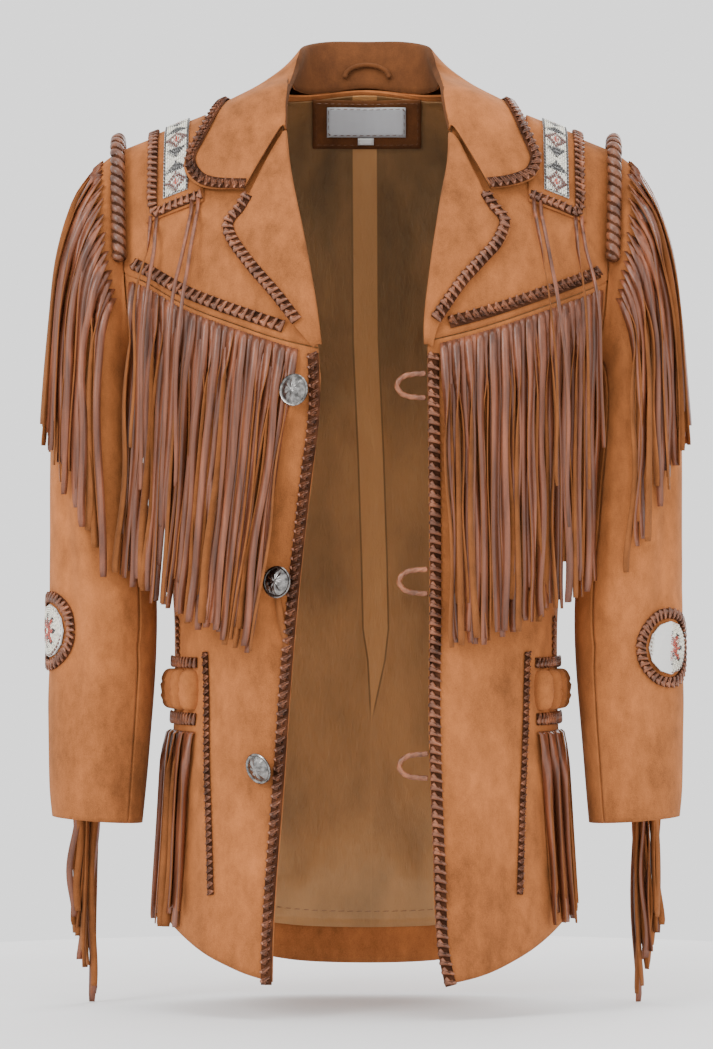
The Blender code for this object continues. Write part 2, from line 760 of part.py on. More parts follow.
def border(grid, inset, lift):
    """Points and normals just inside the last column of a grid, for a plait along its edge."""
    spots = []
    for k, row in enumerate(grid):
        edge = row[-1]
        inward = (row[-2] - edge).normalized()
        x = abs(edge.x)
        normal = body_normal(1 if edge.x > 0 else -1, x, level_at(x, edge.z), -1)
        if edge.y > TURNED_Y:
            ahead = grid[min(k + 1, len(grid) - 1)][-1] - grid[max(k - 1, 0)][-1]
            normal = ahead.cross(inward).normalized()
            if normal.dot(edge - BODY_HEART) < 0:
                normal = -normal
        spots.append((edge + inward * inset + normal * lift, normal))
    return spots


def front_normal(side, x, z):
    """Outward normal of the front."""
    return body_normal(side, x, level_at(x, z), -1)


def build_lapel(side):
    """A lapel: it leaves the front's edge, rolls over and lies on the yoke."""
    rows = LAPEL_L if side > 0 else LAPEL_R
    grid = []
    for k, entry in enumerate(rows):
        roll_x = edge_x(side, entry.roll_z)
        grow = min(0.45 + k * 0.2, 1.0)
        inner = front_spot(side, roll_x, entry.roll_z)
        normal = front_normal(side, roll_x, entry.roll_z)
        toward = Vector((-side, 0, 0))
        row = [inner + toward * 1.6 - normal * 0.9,
               inner + toward * (1.6 + 2.2 * grow) + normal * 1.4 * grow,
               inner + toward * (1.6 + 1.6 * grow) + normal * 5.2 * grow]
        for u in (0.12, 0.4, 0.7, 1.0):
            x = roll_x + (entry.out_x - roll_x) * u
            z = entry.roll_z + (entry.out_z - entry.roll_z) * u
            row.append(front_spot(side, x, z, LAPEL_EDGE_LIFT + LAPEL_ROLL_LIFT * grow * (1 - u) ** 0.7))
        grid.append(row)
    turned_cloth("lapel_" + label(side), grid, SUEDE)
    spots = border(grid[1:], PLAIT_INSET, PLAIT_SEAT)
    spots[-1] = (spots[-2][0].lerp(spots[-1][0], 0.8), spots[-1][1])
    plait("lapel_plait_" + label(side), spots)


def collar_side(side):
    """Rows of the collar from just beside the centre back to the gorge, on one side."""
    grid = []
    for entry in COLLAR_BACK:
        seam = body_point(side, entry.seam_x, neck_level(entry.seam_x), 1) + Vector((0, 0, 1.5))
        seam.x -= side * 2.2 * (entry.seam_x / NECK_HALF) ** 2
        fold = Vector((side * entry.fold_x, entry.fold_y, entry.fold_z))
        edge, normal = over_shoulder(side, entry.out_x, entry.out_q, COLLAR_LIFT)
        out = (edge - fold)
        out.z = 0
        out.normalize()
        row = [seam, seam.lerp(fold - out * 3, 0.5), fold - out * 3 - Vector((0, 0, 4)), fold,
               fold + out * 3.6 - Vector((0, 0, 4))]
        for u in (0.33, 0.67, 1.0):
            row.append(row[4].lerp(edge, u) + normal * 5 * u * (1 - u))
        grid.append(row)
    for entry in (COLLAR_FRONT_L if side > 0 else COLLAR_FRONT_R):
        roll_x = edge_x(side, entry.roll_z)
        inner = front_spot(side, roll_x, entry.roll_z)
        normal = front_normal(side, roll_x, entry.roll_z)
        toward = Vector((-side, 0, 0))
        row = [inner + toward * 1.6 - normal * 0.9,
               inner + toward * 2.8 + normal * 0.6,
               inner + toward * 3.8 + normal * 2.4,
               inner + toward * 3.2 + normal * 5.2,
               inner + toward * 0.4 + normal * 7.4]
        edge = front_spot(side, entry.out_x, entry.out_z, COLLAR_LIFT)
        for u in (0.33, 0.67, 1.0):
            x = roll_x + (entry.out_x - roll_x) * u
            z = entry.roll_z + (entry.out_z - entry.roll_z) * u
            row.append(front_spot(side, x, z, COLLAR_LIFT + LAPEL_ROLL_LIFT * (1 - u) ** 0.7))
        row[-1] = edge
        grid.append(row)
    return grid


def build_collar():
    """The collar, from one gorge round the back of the neck to the other."""
    right = collar_side(-1)
    left = collar_side(1)
    turned_cloth("collar", right[:0:-1] + left, SUEDE)
    plait("collar_plait", border(right[:0:-1] + left, PLAIT_INSET, PLAIT_SEAT + 0.6), pitch=COLLAR_STITCH)


def cloth_y(side, x, z):
    """How far forward the body or the sleeve reaches at a distance from the centre and a height."""
    reach = 60.0
    if x < read(BODY, "half_width", level_at(x, z)) - 2.0:
        reach = min(reach, front_spot(side, x, z).y)
    front = sleeve_at(1, math.pi / 2, z)
    outer = sleeve_at(1, 0.0, z)
    inner = sleeve_at(1, math.pi, z)
    half = (outer.x - inner.x) / 2
    share = (x - (outer.x + inner.x) / 2) / max(half, 1.0)
    if abs(share) < 1.0 and z < SLEEVE_TOP_Z:
        depth = read(SLEEVE, "mid_y", 6) - front.y
        reach = min(reach, front.y + depth * (1 - math.sqrt(1 - share * share)))
    return reach


def build_yoke_fringe(side):
    """Strands from the yoke's edge, hanging clear of the front and the sleeve."""
    roots, paths = [], []
    table = YOKE_FRINGE_L if side > 0 else YOKE_FRINGE_R
    first, last = table[0].x, table[-1].x
    for i in range(YOKE_STRANDS):
        share = i / (YOKE_STRANDS - 1)
        x = first + (last - first) * share
        z = yoke_z(side, x) - YOKE_STRIP_DROP
        middle = front_spot(side, x, z, LAY)
        along = (front_spot(side, x + 2, yoke_z(side, x + 2) - YOKE_STRIP_DROP, LAY) - middle).normalized()
        out = front_normal(side, x, z)
        roots.append((middle, along, out, Vector((0, 0, 1))))
        end_x = read(table, "end_x", x)
        end_z = read(table, "end_z", x) + wobble(i + 40 * side, 5.0)
        lift = 3.4 if i % 2 else 6.6
        near = min(cloth_y(side, x + (end_x - x) * part, z + (end_z - z) * part)
                   for part in (0.1, 0.25, 0.4, 0.55, 0.7, 0.85, 1.0))
        path = []
        for part in STRAND_PARTS:
            here_x = x + (end_x - x) * part
            here_z = z + (end_z - z) * part
            wave = math.sin(share * 9.0) * 1.6 * part
            spot = Vector((side * here_x, near - lift - abs(wave), here_z))
            twist = wobble(i + 11 * side, 0.3) * part
            level_out = Vector((out.x * 0.5, out.y, 0)).normalized()
            across = Vector((-level_out.y, level_out.x, 0)) * side
            across = (across + level_out * twist).normalized()
            path.append((spot, across, Vector((across.y, -across.x, 0)) * side))
        paths.append(path)
    fringe("yoke_fringe_" + label(side), roots, paths, STRAND_WIDTH)


def build_armhole_roll(side):
    """The roll of looped leather over the armhole's seam."""
    sections = []
    for k in range(ROLL_STEPS + 1):
        angle = math.radians(ROLL_BACK + (ROLL_FRONT - ROLL_BACK) * k / ROLL_STEPS)
        away = Vector((side * 0.35, -math.sin(angle), math.cos(angle))).normalized()
        centre = armhole_spot(side, angle, SLEEVE_START_GAP / 2) + away * (ROLL_RADIUS + ROLL_LIFT)
        along = armhole_spot(side, angle + 0.02, 0.0) - armhole_spot(side, angle - 0.02, 0.0)
        radius = ROLL_RADIUS * (1.0 if k % 2 else 0.8)
        first = along.cross(away).normalized()
        second = first.cross(along).normalized()
        sections.append([centre + (first * math.cos(turn) + second * math.sin(turn)) * radius
                         for turn in (math.pi / 3 * n for n in range(6))])
    add_object("armhole_roll_" + label(side), new_mesh("armhole_roll", tube(sections)), LEATHER, 0.5)


def build_armhole_fringe(side):
    """Strands from the armhole, falling over the outside of the sleeve."""
    roots, paths = [], []
    for i in range(ARMHOLE_STRANDS):
        share = i / (ARMHOLE_STRANDS - 1)
        angle = math.radians(FRINGE_BACK + (FRINGE_FRONT - FRINGE_BACK) * share)
        at = HEAD_STRIP_AT + HEAD_STRIP_TURN * math.sin(angle) ** 2
        base = sleeve_point(side, angle, at, LAY + 1.0)
        above = sleeve_point(side, angle, at - 0.15, LAY + 1.0)
        beside = sleeve_point(side, angle + SMALL_TURN, at, LAY + 1.0)
        lifted = sleeve_point(side, angle, at, LAY + 2.0)
        along = (beside - base).normalized()
        roots.append((base, along, (lifted - base).normalized(), (above - base).normalized()))
        end_z = base.z - STRAND_LENGTH + wobble(i * 5 + side, 8.0)
        lift = 5.2 if i % 2 else 8.6
        path = []
        for part in (0.06, 0.18, 0.45, 1.0):
            z = base.z + (end_z - base.z) * part
            spot = sleeve_at(side, angle, z, lift)
            near = sleeve_at(side, angle + SMALL_TURN, z, lift)
            far = sleeve_at(side, angle - SMALL_TURN, z, lift)
            across = near - far
            across.z = 0
            across.normalize()
            out = Vector((-across.y, across.x, 0))
            if out.dot(spot - sleeve_at(side, angle, z, 0)) < 0:
                out = -out
            path.append((spot, across, out))
        paths.append(path)
    fringe("armhole_fringe_" + label(side), roots, paths, STRAND_WIDTH)


def build_sleeve_fringe(side):
    """Strands from the back seam of the sleeve, turned down to hang past the cuff."""
    roots, paths = [], []
    back = math.radians(270)
    outward = Vector((side, 0, 0))
    backward = Vector((0, 1, 0))
    for i in range(SLEEVE_STRANDS):
        z = SLEEVE_FRINGE_TOP - i * SLEEVE_FRINGE_PITCH
        base = sleeve_at(side, back, z, LAY + 0.5)
        roots.append((base, Vector((0, 0, -1)), backward, -outward))
        column = 4.0 + (i % 3) * SLEEVE_COLUMN
        layer = 3.0 + (SLEEVE_STRANDS - 1 - i) // 3 * 3.6 + (i % 3) * 0.9
        end_z = SLEEVE_FRINGE_END + (i * 37 % 11 - 5) * 8.0
        path = []
        for part in (0.04, 0.16, 1.0):
            turn = math.radians(90) * min(part / 0.16, 1.0)
            across = (Vector((0, 0, -1)) * math.cos(turn) - outward * math.sin(turn)).normalized()
            reach = outward * (column * min(part / 0.16, 1.0) + SLEEVE_FRINGE_SHIFT * part + 2.0)
            spot = base + reach + backward * layer * min(part / 0.04, 1.0)
            spot.z = z + (end_z - z) * part
            path.append((spot, across, backward))
        paths.append(path)
    fringe("sleeve_fringe_" + label(side), roots, paths, STRAND_WIDTH)


def build_epaulette(side):
    """The shoulder patch, its plaited frame and its beadwork strip."""
    steps = [-38, -24, -14, -7, -3, -1, 0, 1, 3, 7, 14, 24, 38, 56, EPAULETTE_FRONT]

    def strip(name, inner_x, outer_x, columns, lift, wall, colour, last, first=0):
        """A strip over the shoulder, lifted off the yoke."""
        grid = []
        for q in [step for step in steps[first:] if step < last] + [last]:
            grid.append([over_shoulder(side, inner_x + (outer_x - inner_x) * i / columns, q, lift)[0]
                         for i in range(columns + 1)])
        cloth(name, grid, lambda point: point - BODY_HEART, colour, wall)

    top = LAY + PATCH_WALL
    strip("epaulette_" + label(side), EPAULETTE_IN, EPAULETTE_OUT, 2, top, PATCH_WALL, SUEDE, EPAULETTE_FRONT)
    strip("bead_strip_" + label(side), BEAD_IN, BEAD_OUT, 1, top + LAY + BEAD_WALL, BEAD_WALL, BEADS,
          EPAULETTE_FRONT - 15, 1)
    spots = []
    for q in [-36, -24, -14, -7, -3, -1, 0, 1, 3, 7, 14, 24, 38, 56, EPAULETTE_FRONT - 12]:
        spots.append(over_shoulder(side, EPAULETTE_OUT - FRAME_INSET, q, top + LAY * 2))
    for share in (0.06, 0.35, 0.65, 1.0):
        x = EPAULETTE_OUT - FRAME_INSET + (EPAULETTE_IN + 1 - EPAULETTE_OUT + FRAME_INSET) * share
        spots.append(over_shoulder(side, x, EPAULETTE_FRONT - FRAME_INSET, top + LAY))
    plait("epaulette_frame_" + label(side), spots)


def build_thongs(side):
    """Four thin thongs from the lower corners of the epaulette."""
    roots, paths = [], []
    for i, (x, drift, length) in enumerate(THONGS):
        q = EPAULETTE_FRONT + STRIP_HEIGHT + 1.5
        base, out = over_shoulder(side, x, q, LAY)
        beside, _ = over_shoulder(side, x + 1, q, LAY)
        above, _ = over_shoulder(side, x, q - 2, LAY)
        along = (beside - base).normalized()
        roots.append((base, along, out, (above - base).normalized()))
        path = []
        near = base.y
        for part in (0.08, 0.4, 1.0):
            here_x = x + drift * min(part * 2, 1.0)
            here_z = base.z - length * part
            near = min(near, cloth_y(side, here_x, here_z))
            if part > 0.1:
                near = min([near] + [cloth_y(side, beside_x, base.z - length * share)
                                     for beside_x in (x, x + drift)
                                     for share in (0.25, 0.4, 0.55, 0.7, 0.85, 1.0)])
            lift = 9.0 + 9.0 * min(part * 3, 1.0)
            spot = Vector((side * here_x, near - lift, here_z))
            path.append((spot, Vector((side, 0, 0)), Vector((0, -1, 0))))
        paths.append(path)
    fringe("epaulette_thongs_" + label(side), roots, paths, THONG_WIDTH)


def build_edge_plaits(side):
    """The plaits down the front's edge and along the yoke."""
    spots = []
    for k in range(25):
        z = EDGE_PLAIT_TOP + (EDGE_PLAIT_END - EDGE_PLAIT_TOP) * k / 24
        x = edge_x(side, z) + PLAIT_INSET
        spots.append((front_spot(side, x, z, LAY), front_normal(side, x, z)))
    plait("edge_plait_" + label(side), spots)
    spots = []
    for k in range(12):
        x = YOKE_PLAIT_IN + (YOKE_PLAIT_OUT - YOKE_PLAIT_IN) * k / 11
        z = yoke_z(side, x) + YOKE_PLAIT_RISE
        spots.append((front_spot(side, x, z, LAY + 0.1), front_normal(side, x, z)))
    plait("yoke_plait_" + label(side), spots)


def pocket_spot(side, turn, z, lift):
    """A point and normal on the front near the side seam, by its angle round the body."""
    level = z
    for _ in range(6):
        x = read(BODY, "half_width", level) * math.cos(turn) ** (2 / SECTION_POWER)
        level = level_at(x, z)
    normal = body_normal(side, x, level, -1)
    return body_point(side, x, level, -1) + normal * lift, normal


def build_pocket(side):
    """A pocket: welt, two plaited bands, four padded rolls and its fringe."""
    first, last = math.radians(POCKET_TURN_IN), math.radians(POCKET_TURN_OUT)

    def across(share):
        """An angle between the pocket's side and front edges."""
        return first + (last - first) * share

    spots = []
    for k in range(10):
        z = WELT_TOP + (WELT_END - WELT_TOP) * k / 9
        x = read(WELT, "x", z)
        spots.append((front_spot(side, x, z, LAY), front_normal(side, x, z)))
    plait("pocket_welt_" + label(side), spots, WELT_WIDTH, 2.4)
    for name, height, wide in (("upper", UPPER_BAND_Z, 11.0), ("lower", LOWER_BAND_Z, 13.0)):
        spots = [pocket_spot(side, across(k / 8), height, LAY) for k in range(9)]
        plait("pocket_band_" + name + "_" + label(side), spots, wide, 2.6, 9.0)
    outer, inner = [], []
    heights = [(ROLL_TOP_Z, 1.6), (ROLL_TOP_Z - ROLL_SHOULDER, ROLL_PUFF),
               (ROLL_END_Z + ROLL_SHOULDER, ROLL_PUFF), (ROLL_END_Z, 1.6)]
    for z, puff in heights:
        outer_row, inner_row = [], []
        for k in range(4 * ROLLS + 1):
            bulge = abs(math.sin(math.pi * k / 4))
            turn = across(k / (4 * ROLLS))
            outer_row.append(pocket_spot(side, turn, z, LAY + 1.2 + puff * (0.25 + 0.75 * bulge))[0])
            inner_row.append(pocket_spot(side, turn, z, LAY)[0])
        outer.append(outer_row)
        inner.append(inner_row)
    sections = [outer_row + inner_row[::-1] for outer_row, inner_row in zip(outer, inner)]
    add_object("pocket_rolls_" + label(side), new_mesh("pocket_rolls", tube(sections)), SUEDE)
    roots, paths = [], []
    for i in range(POCKET_STRANDS):
        turn = across((i + 0.4) / (POCKET_STRANDS - 0.2))
        base, out = pocket_spot(side, turn, POCKET_FRINGE_TOP, LAY)
        beside, _ = pocket_spot(side, turn + SMALL_TURN, POCKET_FRINGE_TOP, LAY)
        roots.append((base, (beside - base).normalized(), out, Vector((0, 0, 1))))
        lift = 3.6 if i % 2 else 6.6
        end_z = POCKET_FRINGE_END + wobble(i + 5 * side, 9.0)
        path = []
        for part in (0.12, 1.0):
            z = POCKET_FRINGE_TOP + (end_z - POCKET_FRINGE_TOP) * part
            spot, normal = pocket_spot(side, turn, z, lift)
            near, _ = pocket_spot(side, turn + SMALL_TURN, z, lift)
            way = near - spot
            way.z = 0
            way.normalize()
            level_out = Vector((normal.x, normal.y, 0)).normalized()
            path.append((spot, way, level_out))
        paths.append(path)
    fringe("pocket_fringe_" + label(side), roots, paths, STRAND_WIDTH)


def build_medallion(side):
    """The plaited ring and the beaded disc on the outside of the elbow."""
    centre_turn = math.radians(MEDALLION_TURN_L if side > 0 else MEDALLION_TURN_R)
    centre_z = MEDALLION_Z_L if side > 0 else MEDALLION_Z_R

    def spot(radius, angle, lift):
        """A point round the medallion's centre, laid on the sleeve."""
        turn = centre_turn + radius * math.cos(angle) / ELBOW_RADIUS
        return sleeve_at(side, turn, centre_z + radius * math.sin(angle), lift)

    spots = []
    for k in range(25):
        angle = 2 * math.pi * (k / 24) * 0.994
        point = spot(RING_RADIUS, angle, LAY + 0.2)
        spots.append((point, (spot(RING_RADIUS, angle, LAY + 1.2) - point).normalized()))
    plait("elbow_ring_" + label(side), spots, RING_WIDTH, 2.6, 9.5)
    rings = [(4, 0.0), (13, 0.0), (DISC_RADIUS, 0.0), (DISC_RADIUS, 1.6), (13, 2.2), (4, 2.4)]
    sections = [[spot(radius, 2 * math.pi * n / 12, LAY + 0.3 + rise) for n in range(12)]
                for radius, rise in rings]
    add_object("elbow_disc_" + label(side), new_mesh("elbow_disc", tube(sections)), BEADS, 0.5)


def add_tube(name, points, radius, colour, roughness=0.6):
    """A cord along a line of points, with closed ends."""
    curve = bpy.data.curves.new(name, "CURVE")
    curve.dimensions = "3D"
    curve.bevel_depth = radius * MM
    curve.bevel_resolution = 1
    curve.use_fill_caps = True
    spline = curve.splines.new("POLY")
    spline.points.add(len(points) - 1)
    for knot, point in zip(spline.points, points):
        knot.co = (*(point * MM), 1.0)
    return add_object(name, curve, colour, roughness)


def build_buttons():
    """Three domed buttons on the wearer's right front and three loops on the left."""
    shank = [(2.4, -BUTTON_STAND), (2.4, 0.0)]
    head = [(12.6, 0.4), (BUTTON_RADIUS, 1.6), (13.8, 2.8), (8.4, 5.4), (3.0, 6.4)]
    profile = [(radius, BUTTON_STAND + height) for radius, height in shank + head]
    for number, (x, z) in enumerate(BUTTON_SPOTS, 1):
        base = front_spot(-1, abs(x), z, LAY / 2)
        axis = (front_normal(-1, abs(x), z) + Vector((-0.12, 0, -0.1))).normalized()
        first = axis.cross(Vector((0, 0, 1))).normalized()
        second = axis.cross(first)
        sections = []
        for radius, height in profile:
            centre = base + axis * height
            turns = [2 * math.pi * n / 12 for n in range(12)]
            sections.append([centre + (first * math.cos(turn) + second * math.sin(turn)) * radius
                             for turn in turns])
        add_object("button_" + str(number), new_mesh("button", tube(sections)), METAL, 0.35, 1.0)
    for number, z in enumerate(LOOP_HEIGHTS, 1):
        root = edge_x(1, z) - LOOP_SEAT
        points = []
        for k in range(7):
            angle = math.radians(-90 + 180 * k / 6)
            curl = math.cos(angle)
            x = root - (LOOP_REACH - LOOP_RADIUS) * curl ** 0.5 - LOOP_RADIUS * curl
            points.append(Vector((x, front_spot(1, root + 3, z).y, z + LOOP_RADIUS * math.sin(angle))))
        add_tube("loop_" + str(number), points, CORD_RADIUS, PLAIT_LEATHER)


def lining_spot(grid, x, z, lift):
    """A point on the inner side of the lining, moved in by lift."""
    def depth(x, z):
        """How far back the lining's own facets are."""
        line = []
        for row in grid:
            i = max(k for k in range(len(row) - 1) if k == 0 or row[k].x * row[-1].x <= x * row[-1].x)
            share = (x - row[i].x) / (row[i + 1].x - row[i].x)
            line.append(row[i].lerp(row[i + 1], share))
        j = max(k for k in range(len(line) - 1) if k == 0 or line[k].z >= z)
        share = (z - line[j].z) / (line[j + 1].z - line[j].z)
        return line[j].lerp(line[j + 1], share).y
    slope_x = (depth(x + 1, z) - depth(x - 1, z)) / 2
    slope_z = (depth(x, z + 1) - depth(x, z - 1)) / 2
    inward = Vector((slope_x, -1, slope_z)).normalized()
    return Vector((x, depth(x, z), z)) + inward * (LINING_WALL + lift)


def build_neck_trim():
    """The label patch, the bare woven label, its size tab and the hanger loop."""
    pieces = [("label_patch", LABEL_PATCH, 0.9, 1.4, 6, 3, SUEDE_DARK),
              ("woven_label", WOVEN_LABEL, 3.2, 0.6, 4, 2, WOVEN),
              ("size_tab", SIZE_TAB, 3.2, 0.6, 1, 1, WOVEN)]
    lining = back_grid(WALL + LINING_GAP, BACK_LEVELS[1:-1], 7)
    for name, (low_x, high_x, top_z, end_z), lift, wall, columns, rows, colour in pieces:
        grid = [[lining_spot(lining, low_x + (high_x - low_x) * i / columns,
                             top_z + (end_z - top_z) * k / rows, lift)
                 for i in range(columns + 1)] for k in range(rows + 1)]
        cloth(name, grid, lambda point: Vector((0, 1, 0.4)), colour, wall)
    points = []
    for k in range(7):
        angle = math.pi * k / 6
        x = HANGER_MIDDLE - HANGER_HALF * math.cos(angle)
        z = HANGER_Z + HANGER_RISE * math.sin(angle)
        points.append(Vector((x, HANGER_Y + (z - HANGER_Z) * HANGER_LEAN, z)))
    add_tube("hanger_loop", points, HANGER_CORD, PLAIT_LEATHER)


def main():
    """Build every piece of the coat."""
    clear_scene()
    group = bpy.data.collections.new("suede_coat")
    bpy.context.scene.collection.children.link(group)
    build_back()
    build_lining()
    build_collar()
    build_neck_trim()
    build_buttons()
    for side in (-1, 1):
        build_front(side)
        build_yoke(side)
        build_sleeve(side)
        build_lapel(side)
        build_yoke_fringe(side)
        build_armhole_roll(side)
        build_armhole_fringe(side)
        build_sleeve_fringe(side)
        build_epaulette(side)
        build_thongs(side)
        build_edge_plaits(side)
        build_pocket(side)
        build_medallion(side)


main()
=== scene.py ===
"""Suede, lining, lacing, fringe and beadwork of an open-fronted coat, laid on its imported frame.

Lengths in the tables are millimetres and are turned to metres where a mesh is made.
"""

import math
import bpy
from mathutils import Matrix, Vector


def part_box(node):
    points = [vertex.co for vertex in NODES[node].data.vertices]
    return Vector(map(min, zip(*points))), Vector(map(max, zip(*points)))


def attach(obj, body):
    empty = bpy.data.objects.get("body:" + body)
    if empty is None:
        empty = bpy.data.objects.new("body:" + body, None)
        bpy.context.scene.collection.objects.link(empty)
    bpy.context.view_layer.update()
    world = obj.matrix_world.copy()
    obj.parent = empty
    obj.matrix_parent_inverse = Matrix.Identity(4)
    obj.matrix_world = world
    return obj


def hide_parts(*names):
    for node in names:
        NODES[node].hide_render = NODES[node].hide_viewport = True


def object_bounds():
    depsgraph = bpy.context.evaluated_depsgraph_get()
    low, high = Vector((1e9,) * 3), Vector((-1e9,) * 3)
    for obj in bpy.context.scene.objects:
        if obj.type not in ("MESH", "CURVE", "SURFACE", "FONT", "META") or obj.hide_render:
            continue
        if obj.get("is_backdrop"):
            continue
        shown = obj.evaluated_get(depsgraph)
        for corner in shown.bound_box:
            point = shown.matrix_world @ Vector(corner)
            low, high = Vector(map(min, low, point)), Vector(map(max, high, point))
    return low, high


bl_info = {
    "name": "Fringed suede coat",
    "version": (1, 0, 0),
    "blender": (4, 5, 0),
    "location": "3D View > Sidebar > Coat",
    "description": "Builds the cloth, lacing, fringe, beadwork and buttons of a suede coat on its frame",
    "category": "Object",
}

from collections import namedtuple

import bmesh
import bpy
from mathutils import Matrix, Vector, noise
from mathutils.bvhtree import BVHTree

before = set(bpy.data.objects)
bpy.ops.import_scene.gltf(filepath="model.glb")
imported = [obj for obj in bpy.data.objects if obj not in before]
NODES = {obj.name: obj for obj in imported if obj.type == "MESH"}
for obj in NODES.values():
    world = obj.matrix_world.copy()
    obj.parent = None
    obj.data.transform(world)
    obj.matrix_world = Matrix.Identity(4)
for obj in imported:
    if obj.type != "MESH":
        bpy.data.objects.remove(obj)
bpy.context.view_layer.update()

MM = 0.001
SIDES = (("r", -1), ("l", 1))

# Cut of each piece of cloth: flat width, length and the area that shows, in metres
Cut = namedtuple("Cut", "width length area held")

# Soft folds of the body, each from one point to another as seen from the front; depth is outwards
Fold = namedtuple("Fold", "x0 z0 x1 z1 width depth")
FRONT_FOLDS = [
    Fold(-120, -330, -150, -560, 16, -2.6),
    Fold(-96, -470, -112, -700, 20, 2.4),
    Fold(-150, -560, -140, -770, 18, 2.8),
    Fold(-108, -640, -126, -775, 13, -2.2),
    Fold(112, -340, 138, -520, 17, -2.4),
    Fold(88, -500, 98, -730, 22, 2.2),
    Fold(120, -600, 130, -775, 15, -2.4),
    Fold(165, -420, 120, -470, 10, -1.8),
    Fold(-166, -400, -128, -462, 11, -1.8),
    Fold(-78, -300, -92, -420, 14, 1.6),
    Fold(84, -280, 78, -430, 16, 1.5),
    Fold(-190, -120, -150, -150, 12, -1.4),
    Fold(188, -118, 152, -152, 12, -1.3),
]
BACK_FOLDS = [
    Fold(-120, -150, -150, -330, 20, -3.0),
    Fold(118, -160, 148, -350, 22, -2.8),
    Fold(-60, -420, -84, -740, 24, 3.4),
    Fold(12, -480, 6, -770, 30, -3.2),
    Fold(74, -410, 96, -730, 22, 3.2),
    Fold(-140, -520, -128, -770, 18, -2.6),
    Fold(136, -500, 150, -760, 20, 2.6),
    Fold(-90, -400, 30, -430, 14, -1.8),
    Fold(100, -385, -10, -405, 12, -1.5),
]
# Folds of a sleeve: each end by its angle from the outside towards the front, and its height
SLEEVE_FOLDS = [
    Fold(48, -300, 70, -520, 11, -3.2),
    Fold(72, -350, 96, -620, 12, 2.6),
    Fold(20, -430, 110, -465, 9, -2.4),
    Fold(100, -410, 30, -392, 10, -1.8),
    Fold(60, -505, 150, -480, 9, -2.0),
    Fold(-60, -380, -80, -600, 16, -2.8),
    Fold(-100, -300, -70, -430, 14, 2.2),
    Fold(10, -520, 20, -632, 14, 1.8),
    Fold(-30, -150, -60, -270, 16, -2.2),
    Fold(60, -130, 84, -240, 15, -2.0),
]
SLEEVE_MIDDLE = Vector((245, -10, 0))
BODY_MIDDLE_Y = 8.0

# Centre pleat of the lining: its middle at each height, and how long its pointed end is
PleatRow = namedtuple("PleatRow", "z x")
PLEAT = [PleatRow(-20, -1), PleatRow(-198, 0), PleatRow(-311, 5), PleatRow(-406, 8), PleatRow(-500, 10),
         PleatRow(-560, 5)]
PLEAT_WIDTH = 24.0
PLEAT_HEIGHT = 3.0
PLEAT_POINT = 90.0
# Span of x that the finish's ramp of the pleat's middle covers
PLEAT_SWING = 40.0
LINING_FOLDS = [
    Fold(-70, -60, -30, -210, 16, 5.0),
    Fold(62, -70, 30, -230, 18, 5.5),
    Fold(-90, -180, -50, -420, 20, 5.0),
    Fold(84, -190, 52, -400, 22, 5.0),
    Fold(-60, -430, -76, -640, 22, 4.5),
    Fold(46, -420, 70, -660, 20, 4.5),
    Fold(-20, -560, -34, -735, 24, 4.0),
    Fold(20, -590, 40, -738, 22, 4.0),
    Fold(-110, -90, -84, -170, 14, 4.0),
    Fold(110, -95, 86, -180, 14, 4.0),
    Fold(-44, -250, 20, -300, 12, 3.0),
    Fold(50, -300, 12, -360, 12, 3.0),
]
ROLLS = 4
# Laced part of the side seam: its angle towards the front, and its heights
SEAM_TURN = 16.0
SEAM_TOP = -456.0
SEAM_END = -492.0
SEAM_WIDTH = 9.0
SEAM_PITCH = 0.7
LINING_HEM = -752.0
HEM_CURVE = 43.0
HEM_HALF = 180.0
STITCH_ABOVE_HEM = 15.0
HEM_STITCHES = 38
HEM_STITCH_PITCH = 4.2
# How far a thread's middle stands over its cloth, in metres
THREAD_LIFT = 0.0002

# Strands of each fringe: rings below its root, width, wave, turn, depth of those behind, rise over the root
Fringe = namedtuple("Fringe", "node parts width wave turn behind rise")
FRINGES = [
    Fringe("yoke_fringe", 3, 6.6, 2.4, 58, 1.9, 0),
    Fringe("armhole_fringe", 4, 6.8, 3.0, 62, 1.9, 0),
    Fringe("sleeve_fringe", 3, 6.2, 3.0, 80, 1.5, 0),
    Fringe("pocket_fringe", 2, 7.6, 1.4, 22, 1.6, 0),
    Fringe("epaulette_thongs", 3, 3.4, 1.6, 30, 0, 11),
]
STRAND_STEPS = 26
# Loose end of the middle button's thong: across, height and lift over the cloth
TAIL = [(-80, -434, 2.4), (-76, -452, 3.0), (-69, -484, 2.2)]

# Herringbone lacing: node, finished width of the plait and its pitch as a share of the front edges'
Lacing = namedtuple("Lacing", "node width pitch")
LACED = [
    Lacing("collar_plait", 12.5, 0.80), Lacing("lapel_plait", 12.5, 0.80), Lacing("edge_plait", 12.5, 1.0),
    Lacing("yoke_plait", 13.0, 0.86), Lacing("pocket_welt", 8.5, 0.78), Lacing("pocket_band_upper", 11.5, 0.66),
    Lacing("pocket_band_lower", 13.0, 0.66), Lacing("elbow_ring", 11.5, 0.64),
    Lacing("epaulette_frame", 11.5, 0.70),
]
SLANT = 40.0
# A wound or twisted cord gets painted shade in its groove, where its lobes fall below this share of their height
GROOVE_EDGE = 0.22

# Colours of the bead charts, by number
BEADS = ["bead_white", "bead_black", "bead_brown", "bead_red"]
WHITE, BLACK, BROWN, RED = range(4)
# Radius of the elbow's beadwork, in metres
ROSETTE = 0.0238

SUEDE_PIECES = ["back", "front", "front_yoke", "sleeve_upper", "sleeve_under", "collar", "lapel", "epaulette"]


